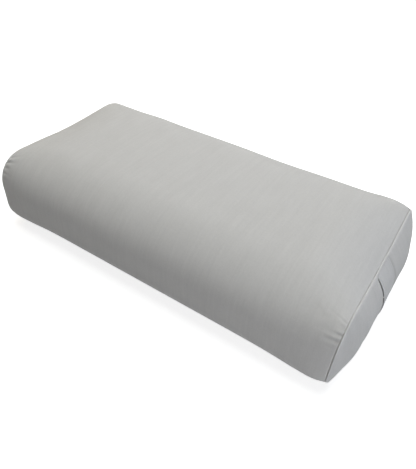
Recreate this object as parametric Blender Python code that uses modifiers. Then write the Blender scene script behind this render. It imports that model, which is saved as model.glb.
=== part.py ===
"""Rectangular yoga bolster, modelled as its separate pieces in metres, +Z up.

A sewn cover with a zip along its rear side holds a closed liner bag, a wrap and two end pads of
fibre, and a foam core. +X runs along the length and the zip is on the +Y side. The origin is the
middle of the flat underside.
"""

import math

import bmesh
import bpy
from mathutils import Vector

# Clearances
GAP = 0.0003
FILLING_SLACK = 0.0009
FOAM_SLACK = 0.0005
CUT_OVERRUN = 0.004
WELD_DISTANCE = 0.00001

# Cushion: its length between the end seams, and its section in the middle. The corners are
# shares of the width.
SEAM_LENGTH = 0.586
BODY_WIDTH = 0.313
SHOULDER_HEIGHT = 0.1343
CROWN = 0.0055
WIDEST_HEIGHT = 0.060
TOP_CORNER_SHARE = 0.2728
BOTTOM_CORNER_SHARE = 0.1706

# Cushion: how the section changes towards the end seams
DRAW_LENGTH = 0.075
END_DRAW = 0.0018
END_DROP = 0.0005
END_LIFT = 0.002
END_TOP_CORNER_SHARE = 0.1821
END_BOTTOM_CORNER_SHARE = 0.0984
LEFT_DIP = 0.0115
RIGHT_DIP = 0.025
DROP_POWER = 3
CROWN_POWER = 2

# Cushion: the domed ends, and the hollow that leaves room for a hand under each strap
END_BULGE = 0.0222
DOME_SIDE_POWER = 5
DOME_HEIGHT_POWER = 2.2
HOLLOW_DEPTH = 0.0062
HOLLOW_MARGIN = 0.003
HOLLOW_WALL = 0.011
HOLLOW_POWER = 4

# Cloth and filling
COVER_CLOTH = 0.0010
SEAM_ALLOWANCE = 0.010
LINER_CLOTH = 0.0008
LINER_END_SLACK = 0.0010
FIBRE_WRAP = 0.014
FIBRE_PAD = 0.016

# Handle straps
STRAP_WIDTH = 0.044
STRAP_THICKNESS = 0.002

# Zip: window in the cover, tapes and coils
WINDOW_LENGTH = 0.420
WINDOW_HEIGHT = 0.0125
TAPE_WIDTH = 0.014
TAPE_THICKNESS = 0.0008
TAPE_TAIL = 0.006
TAPE_MARGIN = 0.00185
COIL_WIDTH = 0.00285
COIL_HEIGHT = 0.0018
COIL_EDGE = 0.0004

# Zip: stops
STOP_LENGTH = 0.003
STOP_WIDTH = 0.0034
STOP_HEIGHT = 0.0024
STOP_TO_WINDOW = 0.003
STOP_EDGE = 0.0003

# Zip: slider and its pull tab
SLIDER_LENGTH = 0.011
SLIDER_WALL = 0.0009
SLIDER_EDGE = 0.0003
BRIDGE_WIDTH = 0.0018
BRIDGE_WALL = 0.0011
BAR_RADIUS = 0.0008
BAR_CLEARANCE = 0.0004
TAB_LENGTH = 0.024
TAB_WIDTH = 0.0062
TAB_THICKNESS = 0.0011
TAB_HOLE = 0.0013
TAB_HOLE_TO_END = 0.0034

# Where the rings of the cushion stand, as shares of its straight part and of the drawn-in part
# before the seam allowance
STRAIGHT_SHARES = (0, 0.3, 0.55, 0.78, 1)
DRAW_SHARES = (0.4, 0.66)

# How many faces each part of a ring has, on one half of the cushion
TOP_STEPS = 4
TOP_CORNER_STEPS = 6
BAND_STEPS = 2
BOTTOM_CORNER_STEPS = 4
BOTTOM_STEPS = 5
HOLLOW_STEPS = 2

# Faces of the small round pieces and of a strap's length
ARC_STEPS = 10
BAR_SIDES = 20
STRAP_STEPS = 22

# Sizes that follow from the ones above
SEAM_HALF = SEAM_LENGTH / 2
REAR = BODY_WIDTH / 2
TOP_CORNER = BODY_WIDTH * TOP_CORNER_SHARE
BOTTOM_CORNER = BODY_WIDTH * BOTTOM_CORNER_SHARE
END_TOP_CORNER = BODY_WIDTH * END_TOP_CORNER_SHARE
END_BOTTOM_CORNER = BODY_WIDTH * END_BOTTOM_CORNER_SHARE
BAND_HALF = GAP / 2 + TAPE_WIDTH + TAPE_MARGIN
TAPE_INSET = COVER_CLOTH + GAP
LINER_INSET = TAPE_INSET + max(COVER_CLOTH, TAPE_THICKNESS) + GAP
LINER_END_INSET = LINER_INSET + LINER_CLOTH + GAP
LINER_SETBACK = COVER_CLOTH + LINER_END_SLACK
FIBRE_INSET = LINER_END_INSET + LINER_CLOTH + GAP
FOAM_INSET = FIBRE_INSET + FIBRE_WRAP + FOAM_SLACK
PAD_SETBACK = LINER_SETBACK + LINER_CLOTH + FILLING_SLACK
FIBRE_HALF = SEAM_HALF - FIBRE_PAD
CORE_HALF = FIBRE_HALF - GAP
CORNER_STEP = TOP_STEPS + TOP_CORNER_STEPS // 2
SIDE_STEPS = TOP_CORNER_STEPS - TOP_CORNER_STEPS // 2 + BAND_STEPS + BOTTOM_CORNER_STEPS // 2
HALF_STEPS = TOP_STEPS + TOP_CORNER_STEPS + BAND_STEPS + BOTTOM_CORNER_STEPS + BOTTOM_STEPS

# Finishes: colour, roughness and metallic value
COTTON = ((0.55, 0.54, 0.52, 1), 0.9, 0)
STRAP_COTTON = ((0.48, 0.48, 0.48, 1), 0.9, 0)
LINER_COTTON = ((0.80, 0.79, 0.74, 1), 0.9, 0)
FIBRE = ((0.88, 0.88, 0.86, 1), 0.95, 0)
FOAM = ((0.85, 0.80, 0.62, 1), 0.85, 0)
TAPE = ((0.45, 0.45, 0.44, 1), 0.85, 0)
COIL = ((0.40, 0.40, 0.39, 1), 0.45, 0)
METAL = ((0.60, 0.60, 0.60, 1), 0.35, 1)


def clear_scene():
    """Removes every object, so that the part starts alone."""
    for obj in list(bpy.data.objects):
        bpy.data.objects.remove(obj, do_unlink=True)


def new_collection(name):
    """Makes a collection in the scene."""
    collection = bpy.data.collections.new(name)
    bpy.context.scene.collection.children.link(collection)
    return collection


def finish_material(name, finish):
    """Makes one piece's material from a colour, a roughness and a metallic value."""
    colour, roughness, metallic = finish
    material = bpy.data.materials.new(name)
    material.use_nodes = True
    shader = material.node_tree.nodes["Principled BSDF"]
    shader.inputs["Base Color"].default_value = colour
    shader.inputs["Roughness"].default_value = roughness
    shader.inputs["Metallic"].default_value = metallic
    material.diffuse_color = colour
    return material


def add_object(name, data, collection, finish=None):
    """Puts mesh or curve data in the scene as an object, with a material of its own."""
    obj = bpy.data.objects.new(name, data)
    collection.objects.link(obj)
    if finish:
        data.materials.append(finish_material(name, finish))
    return obj


def mesh_from(name, body):
    """Turns a bmesh into mesh data with smooth faces and sharp edges where it folds."""
    mesh = bpy.data.meshes.new(name)
    body.to_mesh(mesh)
    body.free()
    mesh.shade_smooth()
    mesh.set_sharp_from_angle(angle=math.radians(35))
    return mesh


def as_cutter(obj):
    """Keeps a cutter out of renders and out of the part."""
    obj.hide_render = True
    obj.display_type = "WIRE"
    return obj


def add_boolean(obj, other, operation):
    """Cuts or joins one object with another."""
    modifier = obj.modifiers.new(operation.title(), "BOOLEAN")
    modifier.operation = operation
    modifier.solver = "EXACT"
    modifier.object = other


def add_wall(obj, thickness):
    """Gives an open skin its thickness, on the inside."""
    modifier = obj.modifiers.new("Wall", "SOLIDIFY")
    modifier.thickness = thickness
    modifier.offset = -1
    modifier.use_even_offset = True
    modifier.use_rim = True


def add_bevel(obj, width):
    """Rounds an object's edges."""
    modifier = obj.modifiers.new("Edges", "BEVEL")
    modifier.width = width
    modifier.segments = 2
    modifier.limit_method = "ANGLE"


def box_mesh(name, low, high):
    """A box between two corners, as mesh data about the low and high corners' middle."""
    body = bmesh.new()
    bmesh.ops.create_cube(body, size=1)
    size = Vector(high) - Vector(low)
    for vert in body.verts:
        vert.co = Vector((vert.co.x * size.x, vert.co.y * size.y, vert.co.z * size.z))
    return mesh_from(name, body)


def add_box(name, low, high, collection, finish=None, edge=0):
    """A box object between two corners, with its origin in its middle."""
    obj = add_object(name, box_mesh(name, low, high), collection, finish)
    obj.location = (Vector(low) + Vector(high)) / 2
    if edge:
        add_bevel(obj, edge)
    return obj


# The cushion's form: sections across the length


def blend(low, high, share):
    """A value between two, by a share from 0 to 1."""
    return low + (high - low) * share


def end_share(x):
    """How far a section has drawn in: 0 over the straight part and 1 at the end seam."""
    past = abs(x) - (SEAM_HALF - DRAW_LENGTH)
    return min(max(past / DRAW_LENGTH, 0), 1) ** 2


def length_share(x):
    """How far a section lies from the middle, rising steeply near the end seam."""
    return abs(x / SEAM_HALF) ** DROP_POWER


def corner_arc(middle, width, height, steps):
    """Points of a quarter ellipse from its upright end to its flat end, both included."""
    points = []
    for step in range(steps + 1):
        angle = math.radians(90) * step / steps
        points.append((middle[0] + width * math.sin(angle), middle[1] + height * math.cos(angle)))
    return points


def flat_columns(flat, steps):
    """Distances from the middle to where a flat side's faces meet, the hollow's edges among them."""
    foot = STRAP_WIDTH / 2 + HOLLOW_MARGIN
    brim = foot + HOLLOW_WALL
    rest = steps - HOLLOW_STEPS
    return [0, foot, brim] + [blend(brim, flat, step / rest) for step in range(1, rest)]


def half_section(x, inset):
    """Points of the +Y half of the section at x, from the top's middle to the underside's middle.

    The inset moves the section inwards, and further where the top falls away towards a seam, so
    each layer's skin runs parallel to the cover.
    """
    drawn = end_share(x)
    along = length_share(x)
    half_width = BODY_WIDTH / 2 - END_DRAW * drawn - inset
    floor = END_LIFT * drawn + inset
    shoulder = SHOULDER_HEIGHT - END_DROP * along - inset
    top_corner = TOP_CORNER + (END_TOP_CORNER - TOP_CORNER) * drawn - inset
    bottom_corner = BOTTOM_CORNER + (END_BOTTOM_CORNER - BOTTOM_CORNER) * drawn - inset
    band_top = WIDEST_HEIGHT + BAND_HALF
    band_foot = WIDEST_HEIGHT - BAND_HALF
    top_flat = half_width - top_corner
    bottom_flat = half_width - bottom_corner

    points = [(y, shoulder) for y in flat_columns(top_flat, TOP_STEPS)]
    points += corner_arc((top_flat, band_top), top_corner, shoulder - band_top, TOP_CORNER_STEPS)
    for step in range(1, BAND_STEPS):
        points.append((half_width, band_top - 2 * BAND_HALF * step / BAND_STEPS))
    lower = corner_arc((bottom_flat, band_foot), bottom_corner, floor - band_foot, BOTTOM_CORNER_STEPS)
    points += reversed(lower)
    points += [(y, floor) for y in reversed(flat_columns(bottom_flat, BOTTOM_STEPS))]

    dip = RIGHT_DIP if x > 0 else LEFT_DIP
    swell = CROWN * (1 - along) - dip * drawn
    fall = 2 * dip * math.sqrt(drawn) / DRAW_LENGTH
    shaped = []
    for y, z in points:
        height_share = max((z - WIDEST_HEIGHT) / (shoulder - WIDEST_HEIGHT), 0)
        lift = height_share**CROWN_POWER * (1 - (y / half_width) ** 2)
        z += swell * lift - inset * (math.hypot(1, fall * lift) - 1)
        shaped.append((y, z))
    return shaped


def ring(x, inset):
    """The whole section at x, from the underside's middle round by +Y, over the top and back."""
    half = half_section(x, inset)
    rising = [Vector((x, y, z)) for y, z in reversed(half)]
    falling = [Vector((x, -y, z)) for y, z in half[1:]]
    return rising + falling


def ring_places():
    """Places of the cover's rings on the +X half, from the middle to the end seam."""
    straight = SEAM_HALF - DRAW_LENGTH
    places = [straight * share for share in STRAIGHT_SHARES]
    places += [straight + (DRAW_LENGTH - SEAM_ALLOWANCE) * share for share in DRAW_SHARES]
    return places + [SEAM_HALF - SEAM_ALLOWANCE, SEAM_HALF]


def facet_ring(x, inset):
    """The section at x as it lies on flat faces between the cover's rings."""
    side = -1 if x < 0 else 1
    places = ring_places()
    high = next(place for place in places[1:] if place >= min(abs(x), SEAM_HALF))
    low = places[places.index(high) - 1]
    share = (abs(x) - low) / (high - low)
    return [start.lerp(end, share) for start, end in zip(ring(side * low, inset), ring(side * high, inset))]


def stations(half_length):
    """Places of a tube's rings along the length, from its left end to its right end."""
    right = [x for x in ring_places() if x < half_length] + [half_length]
    return [-x for x in reversed(right[1:])] + right


def tube(half_length, inset):
    """An open skin along the cushion, shaped from a grid and joined along the underside."""
    places = stations(half_length)
    rings = [facet_ring(x, inset) for x in places]
    across = 2 * HALF_STEPS
    body = bmesh.new()
    bmesh.ops.create_grid(body, x_segments=across, y_segments=len(places) - 1, size=1)
    for vert in body.verts:
        column = round((vert.co.x + 1) / 2 * across)
        row = round((vert.co.y + 1) / 2 * (len(places) - 1))
        vert.co = rings[row][column]
    bmesh.ops.remove_doubles(body, verts=body.verts, dist=WELD_DISTANCE)
    bmesh.ops.triangulate(body, faces=body.faces, quad_method="FIXED")
    return body


# The cushion's form: domed ends


def end_lattice(side, inset, setback=0):
    """Points of an end from its edge inwards, by column and row, with each point's two shares.

    The columns run across from -1 to 1 and the rows run up from -1 to 1. The four edges lie on
    the cushion's section there, and each point between them follows the nearer edges.
    """
    section = facet_ring(side * (SEAM_HALF - setback), inset)
    half = [(point.y, point.z) for point in section[HALF_STEPS::-1]]
    top = half[: CORNER_STEP + 1]
    flank = half[CORNER_STEP : CORNER_STEP + SIDE_STEPS + 1][::-1]
    foot = half[CORNER_STEP + SIDE_STEPS :][::-1]
    lattice = []
    for column in range(-CORNER_STEP, CORNER_STEP + 1):
        sign = -1 if column < 0 else 1
        top_y, top_z = top[abs(column)]
        foot_y, foot_z = foot[abs(column)]
        across = sign * top_y / top[-1][0]
        points = []
        for flank_y, flank_z in flank:
            up = (flank_z - flank[0][1]) / (flank[-1][1] - flank[0][1])
            y = sign * blend(foot_y, top_y, up)
            y += across * (flank_y - blend(foot[-1][0], top[-1][0], up))
            z = flank_z + blend(foot_z - foot[-1][1], top_z - top[-1][1], up)
            points.append((y, z, across, 2 * up - 1))
        lattice.append(points)
    return lattice


def dome_rise(across, up):
    """How far the end stands out past its seam, before the hollow."""
    return END_BULGE * (1 - abs(across) ** DOME_SIDE_POWER) * (1 - abs(up) ** DOME_HEIGHT_POWER)


def hollow(column, up):
    """How far the end is pressed in: fully under the strap, and not beside it."""
    if abs(column) >= HOLLOW_STEPS:
        return 0
    return HOLLOW_DEPTH * (1 - abs(up) ** HOLLOW_POWER)


def dome(side, inset, setback):
    """An open skin over one end, shaped from a grid, with its edge set back from the seam."""
    lattice = end_lattice(side, inset, setback)
    columns = len(lattice) - 1
    rows = len(lattice[0]) - 1
    body = bmesh.new()
    bmesh.ops.create_grid(body, x_segments=columns, y_segments=rows, size=1)
    for vert in body.verts:
        column = round((vert.co.x + 1) / 2 * columns)
        row = round((vert.co.y + 1) / 2 * rows)
        y, z, across, up = lattice[column][row]
        x = SEAM_HALF - setback + dome_rise(across, up) - hollow(column - CORNER_STEP, up)
        vert.co = Vector((side * x, side * y, z))
    return body


def turn_edge_in(body, side, setback, to_x, inset):
    """Runs an end's edge back into the cushion to a place along the length."""
    edges = [edge for edge in body.edges if edge.is_boundary]
    found = bmesh.ops.extrude_edge_only(body, edges=edges)["geom"]
    verts = [item for item in found if isinstance(item, bmesh.types.BMVert)]
    outer = facet_ring(side * (SEAM_HALF - setback), inset)
    inner = facet_ring(side * to_x, inset)
    for vert in verts:
        nearest = min(range(len(outer)), key=lambda index: (outer[index].yz - vert.co.yz).length)
        vert.co = inner[nearest]
    return [edge for edge in body.edges if edge.is_boundary]


# Pieces of the cover, the liner and the filling


def make_body_panel(parts, cutters):
    """The cover's panel round the top, the long sides and the underside, with the zip's window."""
    skin = mesh_from("cover_body_panel", tube(SEAM_HALF, 0))
    panel = add_object("cover_body_panel", skin, parts, COTTON)
    add_wall(panel, COVER_CLOTH)
    low = (-WINDOW_LENGTH / 2, REAR - COVER_CLOTH - CUT_OVERRUN, WIDEST_HEIGHT - WINDOW_HEIGHT / 2)
    high = (WINDOW_LENGTH / 2, REAR + CUT_OVERRUN, WIDEST_HEIGHT + WINDOW_HEIGHT / 2)
    window = as_cutter(add_box("zip_window_cutter", low, high, cutters))
    add_boolean(panel, window, "DIFFERENCE")


def make_end_skin(name, side, inset, setback, cloth, finish, parts):
    """A domed end of cloth, with its edge turned in along the tube that it is sewn to."""
    body = dome(side, inset, setback)
    turn_edge_in(body, side, setback, SEAM_HALF - SEAM_ALLOWANCE, inset)
    end = add_object(name, mesh_from(name, body), parts, finish)
    add_wall(end, cloth)


def make_liner_body(parts):
    """The liner's panel, just inside the cover."""
    skin = mesh_from("liner_body", tube(SEAM_HALF - LINER_SETBACK, LINER_INSET))
    liner = add_object("liner_body", skin, parts, LINER_COTTON)
    add_wall(liner, LINER_CLOTH)


def make_fibre_wrap(parts):
    """The layer of fibre rolled round the core, open at both ends."""
    body = tube(FIBRE_HALF, FIBRE_INSET)
    lining = tube(FIBRE_HALF, FIBRE_INSET + FIBRE_WRAP)
    bmesh.ops.reverse_faces(lining, faces=lining.faces)
    inner = bpy.data.meshes.new("fibre_wrap_lining")
    lining.to_mesh(inner)
    lining.free()
    body.from_mesh(inner)
    bpy.data.meshes.remove(inner)
    for side in (-1, 1):
        rims = [edge for edge in body.edges if edge.is_boundary and edge.verts[0].co.x * side > 0]
        bmesh.ops.bridge_loops(body, edges=rims)
    bmesh.ops.recalc_face_normals(body, faces=body.faces)
    add_object("fibre_wrap", mesh_from("fibre_wrap", body), parts, FIBRE)


def make_fibre_pad(name, side, parts):
    """A pad of fibre that rounds out one end, flat where it meets the core."""
    body = dome(side, FIBRE_INSET, PAD_SETBACK)
    turn_edge_in(body, side, PAD_SETBACK, SEAM_HALF - SEAM_ALLOWANCE, FIBRE_INSET)
    rim = turn_edge_in(body, side, SEAM_ALLOWANCE, FIBRE_HALF + GAP, FIBRE_INSET)
    bmesh.ops.contextual_create(body, geom=rim)
    bmesh.ops.recalc_face_normals(body, faces=body.faces)
    add_object(name, mesh_from(name, body), parts, FIBRE)


def make_foam_core(parts):
    """The foam block, closed at both ends."""
    body = tube(CORE_HALF, FOAM_INSET)
    for side in (-1, 1):
        rim = [edge for edge in body.edges if edge.is_boundary and edge.verts[0].co.x * side > 0]
        bmesh.ops.contextual_create(body, geom=rim)
    bmesh.ops.recalc_face_normals(body, faces=body.faces)
    add_object("foam_core", mesh_from("foam_core", body), parts, FOAM)


# Handle straps


def flat_curve(name, outlines, half_thickness):
    """Curve data that fills flat outlines and gives them a thickness."""
    curve = bpy.data.curves.new(name, "CURVE")
    curve.dimensions = "2D"
    curve.fill_mode = "BOTH"
    curve.extrude = half_thickness
    for outline in outlines:
        spline = curve.splines.new("POLY")
        spline.points.add(len(outline) - 1)
        for point, (x, y) in zip(spline.points, outline):
            point.co = (x, y, 0, 1)
        spline.use_cyclic_u = True
    return curve


def strap_line(side):
    """The strap's inner line over the middle of an end, from the bottom seam to the top seam."""
    lattice = end_lattice(side, TAPE_INSET)
    column = lattice[CORNER_STEP]
    foot = column[0][1]
    head = column[-1][1]
    line = []
    for step in range(STRAP_STEPS + 1):
        up = 2 * step / STRAP_STEPS - 1
        x = SEAM_HALF + GAP + dome_rise(0, up)
        line.append(Vector((x, blend(foot, head, (up + 1) / 2))))
    return line


def offset_line(line, distance):
    """A line beside another, at a distance square to it."""
    moved = []
    for index, point in enumerate(line):
        before = line[max(index - 1, 0)]
        after = line[min(index + 1, len(line) - 1)]
        direction = (after - before).normalized()
        moved.append(point + Vector((direction.y, -direction.x)) * distance)
    return moved


def make_strap(name, side, parts):
    """A flat strap from seam to seam, with room for a hand behind it."""
    inner = strap_line(side)
    outer = offset_line(inner, STRAP_THICKNESS)
    outline = [(side * point.x, point.y) for point in inner + outer[::-1]]
    strap = add_object(name, flat_curve(name, [outline], STRAP_WIDTH / 2), parts, STRAP_COTTON)
    strap.rotation_euler = (math.radians(90), 0, 0)


# Zip: places that follow from the sizes above and that its pieces share

TAPE_FACE = REAR - TAPE_INSET
COIL_FOOT = TAPE_FACE + GAP
COIL_TOP = COIL_FOOT + COIL_HEIGHT
PLATE_FOOT = COIL_TOP + GAP
PLATE_TOP = PLATE_FOOT + SLIDER_WALL
STOP_START = WINDOW_LENGTH / 2 - STOP_TO_WINDOW - STOP_LENGTH
COIL_HALF = STOP_START - GAP
SLIDER_REST = COIL_HALF - SLIDER_LENGTH / 2
CHANNEL_HALF = GAP / 2 + COIL_WIDTH + GAP
HINGE_HEIGHT = PLATE_TOP + BAR_RADIUS + BAR_CLEARANCE
BRIDGE_INNER = BAR_RADIUS + BAR_CLEARANCE
BRIDGE_OUTER = BRIDGE_INNER + BRIDGE_WALL
SLOT_END = BRIDGE_OUTER + BAR_CLEARANCE
SLOT_HALF = BRIDGE_WIDTH / 2 + BAR_CLEARANCE


def make_tape(name, side, parts):
    """One cloth tape, flat behind the window, above or below its middle."""
    half = WINDOW_LENGTH / 2 + TAPE_TAIL
    near = WIDEST_HEIGHT + side * GAP / 2
    far = near + side * TAPE_WIDTH
    low = (-half, TAPE_FACE - TAPE_THICKNESS, min(near, far))
    high = (half, TAPE_FACE, max(near, far))
    add_box(name, low, high, parts, TAPE)


def make_coil(name, side, parts):
    """One row of teeth along its tape's edge."""
    near = WIDEST_HEIGHT + side * GAP / 2
    far = near + side * COIL_WIDTH
    low = (-COIL_HALF, COIL_FOOT, min(near, far))
    high = (COIL_HALF, COIL_TOP, max(near, far))
    add_box(name, low, high, parts, COIL, COIL_EDGE)


def make_top_stop(name, side, parts):
    """A stop past the closed end of one row of teeth."""
    near = WIDEST_HEIGHT + side * GAP / 2
    far = near + side * STOP_WIDTH
    low = (STOP_START, COIL_FOOT, min(near, far))
    high = (STOP_START + STOP_LENGTH, COIL_FOOT + STOP_HEIGHT, max(near, far))
    add_box(name, low, high, parts, METAL, STOP_EDGE)


def make_bottom_stop(parts):
    """The stop across both rows of teeth at the open end."""
    half = GAP / 2 + STOP_WIDTH
    low = (-STOP_START - STOP_LENGTH, COIL_FOOT, WIDEST_HEIGHT - half)
    high = (-STOP_START, COIL_FOOT + STOP_HEIGHT, WIDEST_HEIGHT + half)
    add_box("zip_bottom_stop", low, high, parts, METAL, STOP_EDGE)


def arch_outline():
    """The slider's bridge seen along its hinge, with its feet sunk into the plate."""
    foot = -BRIDGE_INNER - SLIDER_WALL / 2
    outer = []
    inner = []
    for step in range(ARC_STEPS + 1):
        angle = math.radians(180) * step / ARC_STEPS
        outer.append((BRIDGE_OUTER * math.cos(angle), BRIDGE_OUTER * math.sin(angle)))
        inner.append((BRIDGE_INNER * math.cos(angle), BRIDGE_INNER * math.sin(angle)))
    outer = [(BRIDGE_OUTER, foot)] + outer + [(-BRIDGE_OUTER, foot)]
    inner = [(BRIDGE_INNER, foot)] + inner + [(-BRIDGE_INNER, foot)]
    return outer + inner[::-1]


def curve_to_mesh(obj):
    """Replaces a curve object with a mesh object of the same shape, with its caps welded on."""
    graph = bpy.context.evaluated_depsgraph_get()
    mesh = bpy.data.meshes.new_from_object(obj.evaluated_get(graph))
    body = bmesh.new()
    body.from_mesh(mesh)
    bmesh.ops.remove_doubles(body, verts=body.verts, dist=WELD_DISTANCE)
    bmesh.ops.recalc_face_normals(body, faces=body.faces)
    body.to_mesh(mesh)
    body.free()
    new = bpy.data.objects.new(obj.name + "_mesh", mesh)
    obj.users_collection[0].objects.link(new)
    new.matrix_world = obj.matrix_world
    bpy.data.objects.remove(obj, do_unlink=True)
    return new


def make_slider(parts, cutters):
    """The slider: a channel over both rows of teeth, with a bridge that holds the pull tab."""
    half = SLIDER_LENGTH / 2
    width = CHANNEL_HALF + SLIDER_WALL
    origin = Vector((SLIDER_REST, HINGE_HEIGHT, WIDEST_HEIGHT))
    low = Vector((-half, COIL_FOOT - HINGE_HEIGHT, -width))
    high = Vector((half, PLATE_TOP - HINGE_HEIGHT, width))
    body = bmesh.new()
    bmesh.ops.create_cube(body, size=1)
    for vert in body.verts:
        vert.co = Vector(high[axis] if vert.co[axis] > 0 else low[axis] for axis in range(3))
    slider = add_object("zip_slider", mesh_from("zip_slider", body), parts, METAL)
    slider.location = origin
    add_bevel(slider, SLIDER_EDGE)

    low = origin + Vector((-half - CUT_OVERRUN, COIL_FOOT - HINGE_HEIGHT - CUT_OVERRUN, -CHANNEL_HALF))
    high = origin + Vector((half + CUT_OVERRUN, PLATE_FOOT - HINGE_HEIGHT, CHANNEL_HALF))
    channel = as_cutter(add_box("zip_slider_channel_cutter", low, high, cutters))
    add_boolean(slider, channel, "DIFFERENCE")

    bridge = flat_curve("zip_slider_bridge", [arch_outline()], BRIDGE_WIDTH / 2)
    arch = add_object("zip_slider_bridge", bridge, cutters)
    arch.location = origin
    bpy.context.view_layer.update()
    arch = as_cutter(curve_to_mesh(arch))
    add_boolean(slider, arch, "UNION")
    return slider


def rounded_outline(left, right, half_width, radius):
    """A rectangle about the long axis, with its corners rounded."""
    corners = (
        (right, half_width, 0),
        (left, half_width, 90),
        (left, -half_width, 180),
        (right, -half_width, 270),
    )
    points = []
    for x, y, start in corners:
        middle = (x - math.copysign(radius, x - (left + right) / 2), y - math.copysign(radius, y))
        for step in range(ARC_STEPS // 2 + 1):
            angle = math.radians(start + 90 * step / (ARC_STEPS // 2))
            points.append((middle[0] + radius * math.cos(angle), middle[1] + radius * math.sin(angle)))
    return points


def circle_outline(x, radius):
    """A circle on the long axis."""
    turns = [math.radians(360) * step / BAR_SIDES for step in range(BAR_SIDES)]
    return [(x + radius * math.cos(angle), radius * math.sin(angle)) for angle in turns]


def make_pull_tab(slider, parts, cutters):
    """The pull tab, with its bar through the slider's bridge and its length along the zip."""
    plate = rounded_outline(-TAB_LENGTH, BAR_RADIUS, TAB_WIDTH / 2, BAR_RADIUS)
    slot = rounded_outline(-SLOT_END, BAR_RADIUS / 2, SLOT_HALF, BAR_RADIUS / 2)
    hole = circle_outline(-TAB_LENGTH + TAB_HOLE_TO_END, TAB_HOLE)
    tab = add_object("tab_plate", flat_curve("tab_plate", [plate, slot, hole], TAB_THICKNESS / 2), parts)
    tab.rotation_euler = (math.radians(90), 0, 0)
    tab.location = slider.location
    bpy.context.view_layer.update()
    tab = curve_to_mesh(tab)
    tab.name = "zip_pull_tab"
    tab.data.name = "zip_pull_tab"
    tab.data.materials.append(finish_material("zip_pull_tab", METAL))

    body = bmesh.new()
    bmesh.ops.create_cone(
        body,
        cap_ends=True,
        segments=BAR_SIDES,
        radius1=BAR_RADIUS,
        radius2=BAR_RADIUS,
        depth=TAB_WIDTH - TAB_THICKNESS,
    )
    bar = as_cutter(add_object("tab_bar", mesh_from("tab_bar", body), cutters))
    bar.location = slider.location
    add_boolean(tab, bar, "UNION")
    bpy.context.view_layer.update()
    turned = tab.matrix_world.copy()
    tab.parent = slider
    tab.matrix_world = turned


def main():
    """Builds the bolster."""
    clear_scene()
    parts = new_collection("yoga_bolster")
    cutters = new_collection("cutters")

    make_body_panel(parts, cutters)
    for side, word in ((-1, "left"), (1, "right")):
        make_end_skin(f"cover_end_panel_{word}", side, TAPE_INSET, 0, COVER_CLOTH, COTTON, parts)
        make_strap(f"handle_{word}", side, parts)
        make_end_skin(
            f"liner_end_{word}", side, LINER_END_INSET, LINER_SETBACK, LINER_CLOTH, LINER_COTTON, parts
        )
        make_fibre_pad(f"fibre_end_pad_{word}", side, parts)
    make_liner_body(parts)
    make_fibre_wrap(parts)
    make_foam_core(parts)

    for side, word in ((1, "upper"), (-1, "lower")):
        make_tape(f"zip_tape_{word}", side, parts)
        make_coil(f"zip_coil_{word}", side, parts)
        make_top_stop(f"zip_top_stop_{word}", side, parts)
    make_bottom_stop(parts)
    slider = make_slider(parts, cutters)
    make_pull_tab(slider, parts, cutters)


if __name__ == "__main__":
    main()
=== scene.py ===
"""The looks of a rectangular yoga bolster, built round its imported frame.

A cotton cover with domed ends, a cloth handle on each end and a coil zip along the rear side
holds a liner, a wrap and two pads of fibre, and a foam core. Lengths are in metres, +X runs
along the bolster and +Y points to the side with the zip.
"""

import logging
import math
from collections.abc import Iterator, Sequence
from contextlib import contextmanager
from dataclasses import dataclass, field
from enum import Enum

import bmesh
import bpy
import numpy as np
from mathutils import Matrix, Vector


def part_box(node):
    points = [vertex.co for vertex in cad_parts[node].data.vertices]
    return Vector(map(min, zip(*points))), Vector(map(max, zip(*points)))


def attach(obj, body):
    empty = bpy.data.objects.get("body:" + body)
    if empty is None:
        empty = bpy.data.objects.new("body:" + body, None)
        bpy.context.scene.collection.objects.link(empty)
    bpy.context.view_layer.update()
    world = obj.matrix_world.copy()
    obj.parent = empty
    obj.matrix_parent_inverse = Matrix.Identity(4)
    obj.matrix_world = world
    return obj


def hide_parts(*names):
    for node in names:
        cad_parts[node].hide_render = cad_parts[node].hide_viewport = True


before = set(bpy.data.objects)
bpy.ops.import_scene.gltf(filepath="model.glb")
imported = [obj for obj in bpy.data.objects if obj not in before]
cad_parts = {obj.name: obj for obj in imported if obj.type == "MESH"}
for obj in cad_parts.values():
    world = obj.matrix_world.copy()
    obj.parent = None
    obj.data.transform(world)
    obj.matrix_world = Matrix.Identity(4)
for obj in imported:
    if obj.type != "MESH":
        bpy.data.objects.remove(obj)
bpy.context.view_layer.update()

LOG = logging.getLogger("yoga_bolster")
TURN = 2 * math.pi
CLOTH_MAP = "Cloth"
# How much painted highlight a point carries: a lighter rim painted along seams and strap edges, where light
# catches the rolled cloth.
HIGHLIGHT_MARK = "seam_highlight"
GREEN_SHARE = 0.4
WELD = 1e-6
EDGE_TOLERANCE = 1e-4
PLATE_EDGE_STEPS = 2
SPLIT_ANGLE = math.radians(40)


# Nodes: one wrapper for shader and geometry trees


Feed = "Signal | float | Sequence[float] | bpy.types.ID | str | bool"


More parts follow.
